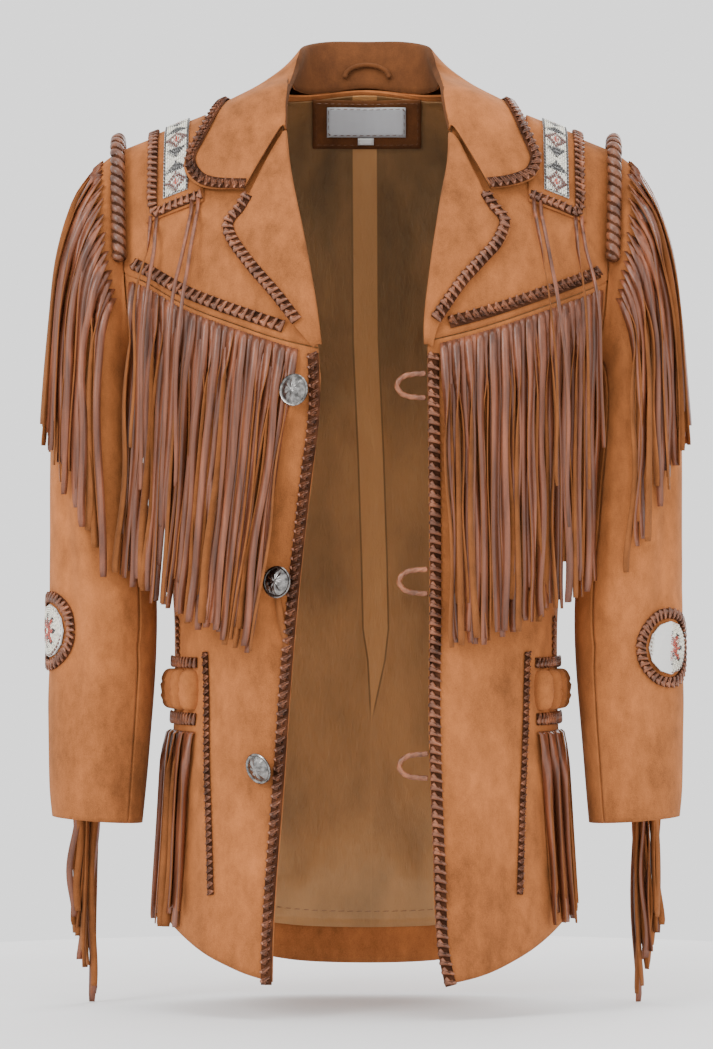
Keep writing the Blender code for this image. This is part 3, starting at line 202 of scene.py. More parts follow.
class CoatSettings(bpy.types.PropertyGroup):
    """Sizes and colours of the coat's finishes."""
    suede: bpy.props.FloatVectorProperty(
        name="Suede", description="Colour of the napped suede", subtype="COLOR", size=3,
        default=(0.325, 0.108, 0.031), min=0, max=1)
    smooth_leather: bpy.props.FloatVectorProperty(
        name="Smooth side", description="Colour of the fringe's smooth side", subtype="COLOR", size=3,
        default=(0.150, 0.046, 0.020), min=0, max=1)
    plait: bpy.props.FloatVectorProperty(
        name="Plait", description="Colour of the plaited lacing", subtype="COLOR", size=3,
        default=(0.185, 0.062, 0.026), min=0, max=1)
    satin: bpy.props.FloatVectorProperty(
        name="Lining", description="Colour of the satin lining", subtype="COLOR", size=3,
        default=(0.36, 0.165, 0.056), min=0, max=1)
    metal: bpy.props.FloatVectorProperty(
        name="Buttons", description="Colour of the buttons' metal", subtype="COLOR", size=3,
        default=(0.26, 0.25, 0.24), min=0, max=1)
    stitch_pitch: bpy.props.FloatProperty(
        name="Lacing pitch", description="Distance between stitches on the front edges", default=0.0082,
        min=0.004, max=0.016, unit="LENGTH", precision=4)
    bead: bpy.props.FloatProperty(
        name="Bead size", description="Distance between beads", default=0.00172,
        min=0.001, max=0.004, unit="LENGTH", precision=5)
    fold_share: bpy.props.FloatProperty(
        name="Folds", description="Depth of the folds as a share of the depths in the tables", default=1.0,
        min=0, max=2, subtype="FACTOR")


def settings():
    """The coat's sizes and colours."""
    return bpy.context.scene.coat_settings


# Nodes of the finishes

def add_node(tree, kind, inputs=None, **values):
    """Add a shader node, set its values and feed its inputs."""
    node = tree.nodes.new(kind)
    for key, value in values.items():
        setattr(node, key, value)
    for key, value in (inputs or {}).items():
        if isinstance(value, bpy.types.NodeSocket):
            tree.links.new(value, node.inputs[key])
        else:
            node.inputs[key].default_value = value
    return node


def grain(tree, scale, detail=3.0, stretch=(1, 1, 1), source="Object", roughness=0.55):
    """Noise over the piece's own coordinates."""
    place = add_node(tree, "ShaderNodeTexCoord").outputs[source]
    turned = add_node(tree, "ShaderNodeMapping", {"Vector": place, "Scale": stretch})
    made = add_node(tree, "ShaderNodeTexNoise", {"Vector": turned.outputs[0], "Scale": scale,
                                                 "Detail": detail, "Roughness": roughness})
    return made.outputs["Fac"]


def ramp(tree, factor, stops):
    """A colour for each value of a factor."""
    made = add_node(tree, "ShaderNodeValToRGB", {"Fac": factor})
    band = made.color_ramp
    while len(band.elements) < len(stops):
        band.elements.new(0.5)
    for element, (at, colour) in zip(band.elements, stops):
        element.position = at
        element.color = (*colour, 1.0)
    return made.outputs["Color"]


def blend(tree, first, second, share):
    """Mix two values by a fixed share."""
    made = add_node(tree, "ShaderNodeMix", {"Factor": share, "A": first, "B": second})
    return made.outputs["Result"]


def bump(tree, height, strength, distance):
    """A bump's normal."""
    made = add_node(tree, "ShaderNodeBump", {"Height": height, "Strength": strength, "Distance": distance})
    return made.outputs["Normal"]


def tint(colour, share):
    """A lighter or darker form of a colour."""
    return tuple(min(max(value * share, 0.0), 1.0) for value in colour)


def start_finish(name):
    """A new material with its tree and shader."""
    material = bpy.data.materials.new(name)
    material.use_nodes = True
    tree = material.node_tree
    return material, tree, tree.nodes["Principled BSDF"]


def set_shader(tree, shader, colours, normal=None, **values):
    """Feed a shader its colours and bump, and set its steady values by their sockets' names."""
    tree.links.new(colours, shader.inputs["Base Color"])
    if normal is not None:
        tree.links.new(normal, shader.inputs["Normal"])
    for key, value in values.items():
        shader.inputs[key.replace("_", " ")].default_value = value


def suede_finish(name, colour):
    """Napped suede: brushed patches, worn lighter areas and a soft sheen."""
    material, tree, shader = start_finish(name)
    patches = grain(tree, 11.0, 4.0, (1, 1, 0.7))
    brushed = grain(tree, 75.0, 5.0, (1, 1, 0.6), roughness=0.65)
    nap = grain(tree, 1100.0, 2.0)
    factor = blend(tree, blend(tree, patches, brushed, 0.45), nap, 0.22)
    colours = ramp(tree, factor, [(0.36, tint(colour, 0.52)), (0.46, tint(colour, 0.84)),
                                  (0.54, tint(colour, 1.08)), (0.64, tint(colour, 1.42))])
    set_shader(tree, shader, colours, bump(tree, blend(tree, brushed, nap, 0.6), 0.45, 0.0006), Roughness=0.92,
               Specular_IOR_Level=0.2, Sheen_Weight=0.08, Sheen_Roughness=0.5, Sheen_Tint=(0.95, 0.56, 0.30, 1))
    return material


def leather_finish(name, colour, rough, stretch=(60, 60, 5), gloss=0.5):
    """Smooth drum-dyed leather, its tone varying from strand to strand."""
    material, tree, shader = start_finish(name)
    tone = grain(tree, 2.4, 3.0, stretch)
    pores = grain(tree, 900.0, 2.0)
    colours = ramp(tree, blend(tree, tone, pores, 0.18), [
        (0.36, tint(colour, 0.5)), (0.47, tint(colour, 0.9)), (0.56, tint(colour, 1.25)),
        (0.68, tint(colour, 1.9))])
    worn = add_node(tree, "ShaderNodeMapRange", {"Value": pores, "To Min": rough - 0.06, "To Max": rough + 0.12})
    tree.links.new(worn.outputs[0], shader.inputs["Roughness"])
    set_shader(tree, shader, colours, bump(tree, pores, 0.2, 0.0003), Specular_IOR_Level=gloss)
    return material


def pleat_share(tree, place, height):
    """How far a place is inside the lining's centre pleat, which takes a painted sheen, and on the seams beside it,
    which take painted shade.
    """
    top, bottom = PLEAT[0].z, PLEAT[-1].z

    def spread(value, start, end, low, high):
        """A value's place between two lengths in millimetres, spread over another range."""
        return add_node(tree, "ShaderNodeMapRange", {"Value": value, "From Min": start * MM, "From Max": end * MM,
                                                     "To Min": low, "To Max": high}).outputs[0]

    def reckon(operation, *values):
        """The result of a sum on values of the tree."""
        return add_node(tree, "ShaderNodeMath", dict(enumerate(values)), operation=operation).outputs[0]

    stops = [((row.z - bottom) / (top - bottom), (0.5 + row.x / PLEAT_SWING,) * 3) for row in reversed(PLEAT)]
    line = ramp(tree, spread(height, bottom, top, 0.0, 1.0), stops)
    middle = add_node(tree, "ShaderNodeMapRange", {"Value": line, "To Min": -PLEAT_SWING / 2 * MM,
                                                   "To Max": PLEAT_SWING / 2 * MM}).outputs[0]
    across = add_node(tree, "ShaderNodeSeparateXYZ", {"Vector": place}).outputs["X"]
    half = spread(height, bottom, bottom + PLEAT_POINT, 0.0, PLEAT_WIDTH / 2 * MM)
    gap = reckon("SUBTRACT", reckon("ABSOLUTE", reckon("SUBTRACT", across, middle)), half)
    inside = spread(gap, -0.4, 0.4, 0.55, 0.0)
    # Painted shade along the pleat's seams, fading out at its pointed end.
    seam = reckon("MULTIPLY", spread(reckon("ABSOLUTE", gap), 0.5, 1.1, 1.0, 0.0),
                 spread(height, bottom, bottom + 20, 0.0, 0.8))
    return inside, seam


def satin_finish(name, colour):
    """Satin: smooth threads with a soft gloss and small creases, darkened by painted shade towards the neck and in
    its creases, with a painted sheen on the centre pleat and painted shade along its seams.
    """
    material, tree, shader = start_finish(name)
    creases = grain(tree, 16.0, 4.0, (1, 1, 0.45))
    threads = grain(tree, 60.0, 2.0, (40, 40, 1))
    place = add_node(tree, "ShaderNodeTexCoord").outputs["Object"]
    height = add_node(tree, "ShaderNodeSeparateXYZ", {"Vector": place}).outputs["Z"]
    # Painted shade: the satin darkens towards the neck, where the collar shades it.
    painted_neck_shade = add_node(tree, "ShaderNodeMapRange", {"Value": height, "From Min": -0.34, "From Max": -0.06,
                                                  "To Min": 0.54, "To Max": 0.20}).outputs[0]
    # The colour follows the same crease noise that bumps the satin: painted shade and sheen on its creases.
    colours = ramp(tree, blend(tree, blend(tree, creases, threads, 0.12), painted_neck_shade, 0.5), [
        (0.26, tint(colour, 0.16)), (0.42, tint(colour, 0.6)), (0.51, colour), (0.60, tint(colour, 1.3))])
    inside, seam = pleat_share(tree, place, height)
    # Painted sheen: the raised centre pleat is tinted lighter, as if it caught the light.
    pleat_painted_sheen = add_node(tree, "ShaderNodeMix", {0: inside, 6: colours, 7: (*tint(colour, 1.75), 1.0)}, data_type="RGBA")
    # Painted shade: the pleat's seams are darkened as the shade of its folded edges.
    pleat_edge_shade = add_node(tree, "ShaderNodeMix", {0: seam, 6: pleat_painted_sheen.outputs[2], 7: (*tint(colour, 0.3), 1.0)},
                    data_type="RGBA")
    set_shader(tree, shader, pleat_edge_shade.outputs[2], bump(tree, blend(tree, creases, threads, 0.06), 0.7, 0.012),
               Roughness=0.30, Specular_IOR_Level=1.0, Specular_Tint=(1.0, 0.80, 0.52, 1))
    return material


def bead_finish(name, colour):
    """Opaque glass beads of one colour, each a little different."""
    material, tree, shader = start_finish(name)
    colours = ramp(tree, grain(tree, 420.0, 1.0), [(0.35, tint(colour, 0.82)), (0.65, tint(colour, 1.12))])
    set_shader(tree, shader, colours, Roughness=0.22, Coat_Weight=0.4, Coat_Roughness=0.1)
    return material


def metal_finish(name, colour):
    """Antiqued silver, tarnished darker and lighter in random patches."""
    material, tree, shader = start_finish(name)
    tarnish = grain(tree, 210.0, 4.0)
    dents = grain(tree, 520.0, 2.0)
    colours = ramp(tree, tarnish, [(0.36, tint(colour, 0.34)), (0.50, tint(colour, 0.8)), (0.62, tint(colour, 1.2))])
    set_shader(tree, shader, colours, bump(tree, dents, 0.25, 0.0003), Metallic=1.0, Roughness=0.24)
    return material


def woven_finish(name, colour):
    """A bare woven label: fine ribs of thread across and down."""
    material, tree, shader = start_finish(name)
    place = add_node(tree, "ShaderNodeTexCoord").outputs["Object"]
    weft, warp = (add_node(tree, "ShaderNodeTexWave", {"Vector": place, "Scale": scale, "Distortion": 0.4},
                           bands_direction=way).outputs["Fac"] for scale, way in ((420.0, "Z"), (300.0, "X")))
    mixed = blend(tree, weft, warp, 0.4)
    colours = ramp(tree, mixed, [(0.2, tint(colour, 0.72)), (0.8, tint(colour, 1.15))])
    set_shader(tree, shader, colours, bump(tree, mixed, 0.5, 0.0003), Roughness=0.5, Sheen_Weight=0.3)
    return material


FINISHES = {}


def finish_of(name):
    """A finish by its name, made the first time it is asked for."""
    if name in FINISHES:
        return FINISHES[name]
    coat = settings()
    makers = {
        "suede": (suede_finish, "suede_nap", tuple(coat.suede)),
        # Darker suede: painted shade on the collar's inside at the neck; the hanger cord takes it too.
        "suede_dark_and_shade": (suede_finish, "suede_nap_dark", tint(coat.suede, 0.30)),
        "suede_patch": (suede_finish, "suede_patch", tint(coat.suede, 0.30)),
        "flesh": (suede_finish, "strand_flesh_side", tint(coat.suede, 0.66)),
        "smooth": (leather_finish, "strand_smooth_side", tuple(coat.smooth_leather), 0.34),
        "plait": (leather_finish, "plait_leather", tuple(coat.plait), 0.38, (30, 30, 30)),
        # Painted shade: this dark leather is the strip under the lacing and the grooves of the armhole wraps, and
        # stands for the shade between them.
        "gap": (leather_finish, "plait_gap", tint(coat.plait, 0.32), 0.8, (30, 30, 30), 0.1),
        "wrap": (leather_finish, "armhole_wrap", tint(coat.plait, 0.7), 0.34, (30, 30, 30)),
        "satin": (satin_finish, "satin_lining", tuple(coat.satin)),
        "thread": (bead_finish, "stitch_thread", (0.17, 0.075, 0.035)),
        "bead_white": (bead_finish, "bead_white", (0.80, 0.76, 0.64)),
        "bead_black": (bead_finish, "bead_black", (0.02, 0.017, 0.017)),
        "bead_brown": (bead_finish, "bead_brown", (0.11, 0.028, 0.016)),
        "bead_red": (bead_finish, "bead_red", (0.42, 0.05, 0.022)),
        "metal": (metal_finish, "antique_silver", tuple(coat.metal)),
        "woven": (woven_finish, "woven_label", (0.50, 0.51, 0.53)),
        "tab": (woven_finish, "size_tab", (0.72, 0.71, 0.68)),
        "floor": (floor_finish, "studio_floor"),
    }
    maker, *values = makers[name]
    FINISHES[name] = maker(*values)
    return FINISHES[name]


def floor_finish(name):
    """A pale matte studio floor."""
    material, tree, shader = start_finish(name)
    colours = ramp(tree, grain(tree, 3.0), [(0.3, (0.86, 0.86, 0.86)), (0.7, (0.90, 0.90, 0.90))])
    set_shader(tree, shader, colours, Roughness=0.9)
    return material


# Folds of the cloth, shared by all that lies on it

def along_fold(fold, across, z, reach=1.0):
    """Height of a fold at a place, from its middle line and its ends."""
    run = Vector(((fold.x1 - fold.x0) * reach, fold.z1 - fold.z0))
    at = Vector(((across - fold.x0) * reach, z - fold.z0))
    share = at.dot(run) / run.length_squared
    if not -0.25 < share < 1.25:
        return 0.0
    gap = abs(at.x * run.y - at.y * run.x) / run.length
    if gap > fold.width * 2.6:
        return 0.0
    ends = min(max((share + 0.25) / 0.45, 0.0), 1.0) * min(max((1.25 - share) / 0.45, 0.0), 1.0)
    ends = ends * ends * (3 - 2 * ends)
    return fold.depth * ends * math.exp(-(gap / fold.width) ** 2)


def body_shift(point):
    """Move of a point on the body, in metres."""
    spot = point / MM
    folds = FRONT_FOLDS if spot.y < BODY_MIDDLE_Y else BACK_FOLDS
    fade = min(abs(spot.y - BODY_MIDDLE_Y) / 40.0, 1.0)
    height = sum(along_fold(fold, spot.x, spot.z) for fold in folds)
    if spot.z < -180:
        height += 0.7 * noise.noise(Vector((spot.x * 0.022, spot.y * 0.02 + 7, spot.z * 0.010)))
    away = Vector((spot.x * 0.35, spot.y - BODY_MIDDLE_Y, 0))
    if away.length < 1:
        return Vector()
    return away.normalized() * height * fade * settings().fold_share * MM


def sleeve_shift(point):
    """Move of a point on a sleeve, in metres."""
    spot = point / MM
    side = 1 if spot.x > 0 else -1
    away = Vector((spot.x * side - SLEEVE_MIDDLE.x, spot.y - SLEEVE_MIDDLE.y, 0))
    turn = math.degrees(math.atan2(-away.y, away.x))
    height = sum(along_fold(fold, turn, spot.z, 0.85) for fold in SLEEVE_FOLDS)
    fade = min(max((-80 - spot.z) / 60.0, 0.0), 1.0)
    height += 0.6 * noise.noise(Vector((spot.x * 0.03 * side + 3 * side, spot.y * 0.03, spot.z * 0.014))) * fade
    if away.length < 1:
        return Vector()
    away.normalize()
    return Vector((away.x * side, away.y, 0)) * height * fade * settings().fold_share * MM


def shift_for(name):
    """The field of folds that a piece follows."""
    on_sleeve = name.startswith(("sleeve_u", "armhole", "elbow", "sleeve_f"))
    return sleeve_shift if on_sleeve else body_shift


def bend_verts(verts, name):
    """Move points by the folds of the cloth below them."""
    shift = shift_for(name)
    for vert in verts:
        vert.co += shift(vert.co)


# Copies of the frame's own shapes

def copy_of(node):
    """A merged copy of a node's shape."""
    bm = bmesh.new()
    bm.from_mesh(NODES[node].data)
    bmesh.ops.remove_doubles(bm, verts=bm.verts, dist=0.00002)
    bm.verts.index_update()
    return bm


def hold_shape(bm, crease, rounds=4):
    """Move the cage out, so that the smoothed cloth passes through the frame's points."""
    goal = {vert: vert.co.copy() for vert in bm.verts}
    for _ in range(rounds):
        moves = []
        for vert in bm.verts:
            sharp = [edge for edge in vert.link_edges if edge[crease] > 0.5]
            if len(sharp) == 2:
                ends = sum((edge.other_vert(vert).co for edge in sharp), Vector())
                limit = (vert.co * 4 + ends) / 6
            elif sharp:
                continue
            else:
                beside = [edge.other_vert(vert) for edge in vert.link_edges]
                corners = []
                for face in vert.link_faces:
                    rest = [v.co for v in face.verts if v is not vert and v not in beside]
                    near = [v.co for v in face.verts if v in beside]
                    corners.append(rest[0] if rest else sum(near, Vector()) / len(near))
                edges = sum((v.co for v in beside), Vector()) / len(beside)
                far = sum(corners, Vector()) / len(corners)
                limit = vert.co * 16 / 36 + edges * 16 / 36 + far * 4 / 36
            moves.append((vert, goal[vert] - limit))
        for vert, move in moves:
            vert.co += move


def smooth_copy(node, levels, sharp=1.15):
    """A node's shape, smoothed between its own points, with its rims kept crisp."""
    bm = copy_of(node)
    bmesh.ops.join_triangles(bm, faces=bm.faces, angle_face_threshold=0.6, angle_shape_threshold=3.1)
    crease = bm.edges.layers.float.new("crease_edge")
    for edge in bm.edges:
        if len(edge.link_faces) == 2 and edge.calc_face_angle(0) > sharp:
            edge[crease] = 1.0
    hold_shape(bm, crease)
    mesh = bpy.data.meshes.new(node + "_cage")
    bm.to_mesh(mesh)
    bm.free()
    cage = bpy.data.objects.new(node + "_cage", mesh)
    bpy.context.scene.collection.objects.link(cage)
    grow = cage.modifiers.new("Smooth", "SUBSURF")
    grow.levels = levels
    grow.render_levels = levels
    bpy.context.view_layer.update()
    seen = cage.evaluated_get(bpy.context.evaluated_depsgraph_get())
    smoothed = bmesh.new()
    smoothed.from_mesh(seen.data)
    bpy.data.objects.remove(cage)
    bpy.data.meshes.remove(mesh)
    return smoothed


def finish_piece(name, bm, finishes, replaces=(), sharp=0.9):
    """Turn a bmesh into a piece that rides on the coat."""
    mesh = bpy.data.meshes.new(name)
    bm.to_mesh(mesh)
    bm.free()
    if "crease_edge" in mesh.attributes:
        mesh.attributes.remove(mesh.attributes["crease_edge"])
    for finish in finishes:
        mesh.materials.append(finish_of(finish))
    mesh.shade_smooth()
    mesh.set_sharp_from_angle(angle=sharp)
    piece = bpy.data.objects.new(name, mesh)
    bpy.context.scene.collection.objects.link(piece)
    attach(piece, "root")
    if replaces:
        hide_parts(*replaces)
    return piece


# Lines through the frame's tubes and strips

def flat_ends(bm, size):
    """Flat groups of faces with a given number of corners: a tube's closing faces are among them."""
    groups, seen = [], set()
    for face in bm.faces:
        if face in seen:
            continue
        group, queue = {face}, [face]
        while queue:
            here = queue.pop()
            for edge in here.edges:
                for other in edge.link_faces:
                    if other not in group and other.normal.dot(face.normal) > 0.99995:
                        group.add(other)
                        queue.append(other)
        seen |= group
        corners = {vert for member in group for vert in member.verts}
        if len(corners) == size:
            groups.append(corners)
    return groups


def in_turn(parts):
    """Points or faces in the order of the mesh, so that each run goes through them alike."""
    return sorted(parts, key=lambda part: part.index)


def rings_from(start, size, most=100000):
    """Rings of a tube's points, one after another, from its closing ring."""
    ring, seen, found = set(start), set(start), [in_turn(start)]
    while len(found) < most:
        ahead = {edge.other_vert(vert) for vert in ring for edge in vert.link_edges} - seen
        if len(ahead) != size:
            break
        seen |= ahead
        ring = ahead
        found.append(in_turn(ahead))
    return found


def tube_rings(node, size):
    """Rings of points along a node that is one tube."""
    bm = copy_of(node)
    bm.normal_update()
    for corners in flat_ends(bm, size):
        rings = rings_from(corners, size)
        if len(rings) * size == len(bm.verts):
            places = [[vert.co.copy() for vert in ring] for ring in rings]
            bm.free()
            return places
    bm.free()
    raise RuntimeError(node + " has no line through it")


def strands_of(node, parts):
    """Rings of points down each strand of a fringe, from root to end."""
    bm = copy_of(node)
    bm.normal_update()
    strands = []
    for corners in flat_ends(bm, 4):
        rings = rings_from(corners, 4, parts + 1)
        heights = [sum(vert.co.z for vert in ring) / 4 for ring in rings]
        if len(rings) == parts + 1 and all(low < high for low, high in zip(heights, heights[1:])):
            strands.append([[vert.co.copy() for vert in ring] for ring in reversed(rings)])
    bm.free()
    if not strands:
        raise RuntimeError(node + " has no strands")
    return strands


def centre_of(points):
    """Mean of some points."""
    return sum(points, Vector()) / len(points)


def long_way(ring):
    """Direction of a flat ring's long side."""
    first = ring[0]
    others = sorted(ring[1:], key=lambda point: (point - first).length)
    return (others[1] - first).normalized()


Station = namedtuple("Station", "place across out")


def plait_stations(node):
    """Base line of a plait with its side and outward directions."""
    stations = []
    for ring in tube_rings(node, 4):
        pairs = sorted(((a, b) for i, a in enumerate(ring) for b in ring[i + 1:]),
                       key=lambda pair: -(pair[0] - pair[1]).length)
        base = pairs[0]
        top = [point for point in ring if point not in base]
        across = (base[1] - base[0]).normalized()
        if stations and across.dot(stations[-1].across) < 0:
            across = -across
        middle = centre_of(base)
        out = centre_of(top) - middle
        out = (out - across * out.dot(across)).normalized()
        stations.append(Station(middle, across, out))
    return stations


def read_line(stations, lengths, at):
    """A station at a distance along a line, on a smooth curve."""
    i = 0
    while i < len(lengths) - 2 and at > lengths[i + 1]:
        i += 1
    span = max(lengths[i + 1] - lengths[i], 1e-9)
    share = min(max((at - lengths[i]) / span, 0.0), 1.0)
    a, b = stations[i], stations[i + 1]
    before = stations[max(i - 1, 0)].place
    after = stations[min(i + 2, len(stations) - 1)].place
    ahead = (b.place - before) / 2
    behind = (after - a.place) / 2
    s2, s3 = share * share, share ** 3
    place = (a.place * (2 * s3 - 3 * s2 + 1) + ahead * (s3 - 2 * s2 + share)
             + b.place * (3 * s2 - 2 * s3) + behind * (s3 - s2))
    return Station(place, a.across.lerp(b.across, share).normalized(), a.out.lerp(b.out, share).normalized())


def lengths_of(stations):
    """Distance of each station from the first."""
    lengths = [0.0]
    for before, after in zip(stations, stations[1:]):
        lengths.append(lengths[-1] + (after.place - before.place).length)
    return lengths


def steady(seed, size=1.0):
    """A steady irregular number between -size and size."""
    value = math.sin(seed * 12.9898 + 4.1414) * 43758.5453
    return (2 * (value - math.floor(value)) - 1) * size


# Shapes that are repeated

Leaf = namedtuple("Leaf", "shape finish")


def leaf(place, along, out, length, width, height, finish=0):
    """Where one leaf-shaped stitch or bead lies, with its size and finish."""
    side = out.cross(along).normalized()
    turn = Matrix((along, side, out)).transposed().to_4x4()
    size = Matrix.Diagonal((length / 2, width / 2, height / 2, 1))
    return Leaf(Matrix.Translation(place) @ turn @ size, finish)


def scatter(leaves, around=8, rows=5):
    """A bmesh with one rounded shape at each leaf's place."""
    bm = bmesh.new()
    bmesh.ops.create_uvsphere(bm, u_segments=around, v_segments=rows, radius=1.0)
    corners, sides = len(bm.verts), len(bm.faces)
    mesh = bpy.data.meshes.new("leaf")
    while len(bm.verts) < corners * len(leaves):
        bm.to_mesh(mesh)
        bm.from_mesh(mesh)
    bpy.data.meshes.remove(mesh)
    bm.verts.ensure_lookup_table()
    bmesh.ops.delete(bm, geom=bm.verts[corners * len(leaves):], context="VERTS")
    bm.verts.ensure_lookup_table()
    bm.faces.ensure_lookup_table()
    for k, (shape, finish) in enumerate(leaves):
        for vert in bm.verts[k * corners:(k + 1) * corners]:
            vert.co = shape @ vert.co
        for face in bm.faces[k * sides:(k + 1) * sides]:
            face.material_index = finish
    return bm


def stitch(tree, spot, along, length, width):
    """One stitch on the surface behind a spot in millimetres, in a list that is empty past its edge."""
    hit, normal, _, _ = tree.ray_cast(spot * MM, Vector((0, 1, 0)))
    if hit is None:
        return []
    along = (along - normal * along.dot(normal)).normalized()
    return [leaf(hit + normal * THREAD_LIFT, along, normal, length, width, width)]


def give_wall(piece, thickness, inner=0):
    """Give a strip its thickness in millimetres, its inner side and edges in another of its finishes."""
    wall = piece.modifiers.new("Wall", "SOLIDIFY")
    wall.thickness = thickness * MM
    wall.offset = 0.0
    wall.material_offset = inner
    wall.material_offset_rim = inner


def strip_along(bm, stations, width, lift, wall, steps, finish):
    """A flat strip on a line of stations."""
    lengths = lengths_of(stations)
    made = bmesh.ops.create_grid(bm, x_segments=2, y_segments=steps, size=0.5)
    for vert in made["verts"]:
        u, share = vert.co.x, vert.co.y + 0.5
        spot = read_line(stations, lengths, lengths[-1] * share)
        vert.co = spot.place + spot.across * u * width + spot.out * (lift - abs(u) * wall)
    bm.faces.index_update()
    faces = in_turn({face for vert in made["verts"] for face in vert.link_faces})
    for face in faces:
        face.material_index = finish
    middle = stations[len(stations) // 2]
    if sum(face.normal.dot(middle.out) for face in faces) < 0:
        bmesh.ops.reverse_faces(bm, faces=faces)
    bmesh.ops.solidify(bm, geom=faces, thickness=wall)


def rope(bm, line, radius, lobes, pitch, depth, around, step, groove_shade=0):
    """A cord of twisted leather on a line of points: slanted lobes wind round it, with shade painted in the grooves
    between them.
    """
    lengths = [0.0]
    for before, after in zip(line, line[1:]):
        lengths.append(lengths[-1] + (after - before).length)
    total = lengths[-1]
    count = max(int(total / step), 8)
    stations = [Station(point, Vector((1, 0, 0)), Vector((0, 0, 1))) for point in line]
    spots, side = [], None
    for k in range(count + 1):
        place = read_line(stations, lengths, total * k / count).place
        near = read_line(stations, lengths, total * max(k - 1, 0) / count).place
        far = read_line(stations, lengths, total * min(k + 1, count) / count).place
        way = (far - near).normalized()
        if side is None:
            side = way.orthogonal().normalized()
        side = (side - way * side.dot(way)).normalized()
        spots.append((place, side, way.cross(side)))
    made = bmesh.ops.create_grid(bm, x_segments=around, y_segments=count, size=0.5)
    for vert in made["verts"]:
        turn = (vert.co.x + 0.5) * 2 * math.pi
        k = int(round((vert.co.y + 0.5) * count))
        place, first, second = spots[k]
        end = min(k, count - k) / count * total
        closing = math.sqrt(min(end / radius, 1.0) * (2 - min(end / radius, 1.0)))
        wave = abs(math.sin((lobes * turn + 2 * math.pi * k / count * total / pitch) / 2))
        reach = radius * (1 - depth + depth * wave ** 0.5) * closing
        vert.co = place + (first * math.cos(turn) + second * math.sin(turn)) * reach
        # Painted shade: faces in the groove between the lobes take the dark finish.
        if wave < GROOVE_EDGE:
            for face in vert.link_faces:
                face.material_index = groove_shade
    bmesh.ops.remove_doubles(bm, verts=made["verts"], dist=0.00001)


def surface_of(node):
    """A tree that finds the nearest place on a node."""
    bm = copy_of(node)
    tree = BVHTree.FromBMesh(bm)
    bm.free()
    return tree


def lace(stations, width, pitch):
    """Two rows of slanted stitches on a line, half a pitch apart."""
    lengths = lengths_of(stations)
    total = lengths[-1]
    leaves = []
    count = max(int(round(total / pitch)), 3)
    thick = 0.86 * total / count * math.sin(math.radians(SLANT))
    for k in range(count):
        for row in (-1, 1):
            at = total * (k + 0.5 + 0.25 * row) / count
            spot = read_line(stations, lengths, at)
            near = read_line(stations, lengths, max(at - 0.002, 0.0)).place
            far = read_line(stations, lengths, min(at + 0.002, total)).place
            way = (far - near).normalized()
            slant = math.radians(SLANT + steady(k * 2 + row, 5))
            along = way * math.cos(slant) + spot.across * row * math.sin(slant)
            tilt = (spot.out + spot.across * row * 0.04).normalized()
            along = (along - tilt * along.dot(tilt)).normalized()
            place = spot.place + spot.across * row * width * 0.235 + spot.out * 0.0017
            leaves.append(leaf(place, along, tilt, length=width * 0.68, width=thick, height=0.0028))
    return leaves


class CoatOperator:
    """What all the coat's operators share."""
    bl_options = {"REGISTER", "UNDO"}


class COAT_OT_suede(CoatOperator, bpy.types.Operator):
    """Sew the suede panels, with their nap and soft folds"""
    bl_idname = "coat.sew_suede"
    bl_label = "Sew suede panels"

    def execute(self, context):
        for kind in SUEDE_PIECES:
            names = [kind] if kind in NODES else [kind + "_" + label for label, _ in SIDES]
            for node in names:
                bm = smooth_copy(node, 2 if kind in ("epaulette", "collar", "lapel") else 3)
                bend_verts(bm.verts, node)
                # On the collar, faces turned towards the neck take the darker suede as painted shade.
                if kind == "collar":
                    self.shade_collar_inside(bm)
                piece = finish_piece(node + "_suede", bm, ["suede", "suede_dark_and_shade"], [node])
        return {"FINISHED"}

    def shade_collar_inside(self, bm):
        """Paint shade on the collar's side at the neck: its faces there take the darker suede."""
        bm.normal_update()
        for face in bm.faces:
            away = face.calc_center_median() - Vector((0, BODY_MIDDLE_Y * MM, 0))
            away.z = 0
            if face.normal.dot(away.normalized()) < -0.3:
                face.material_index = 1


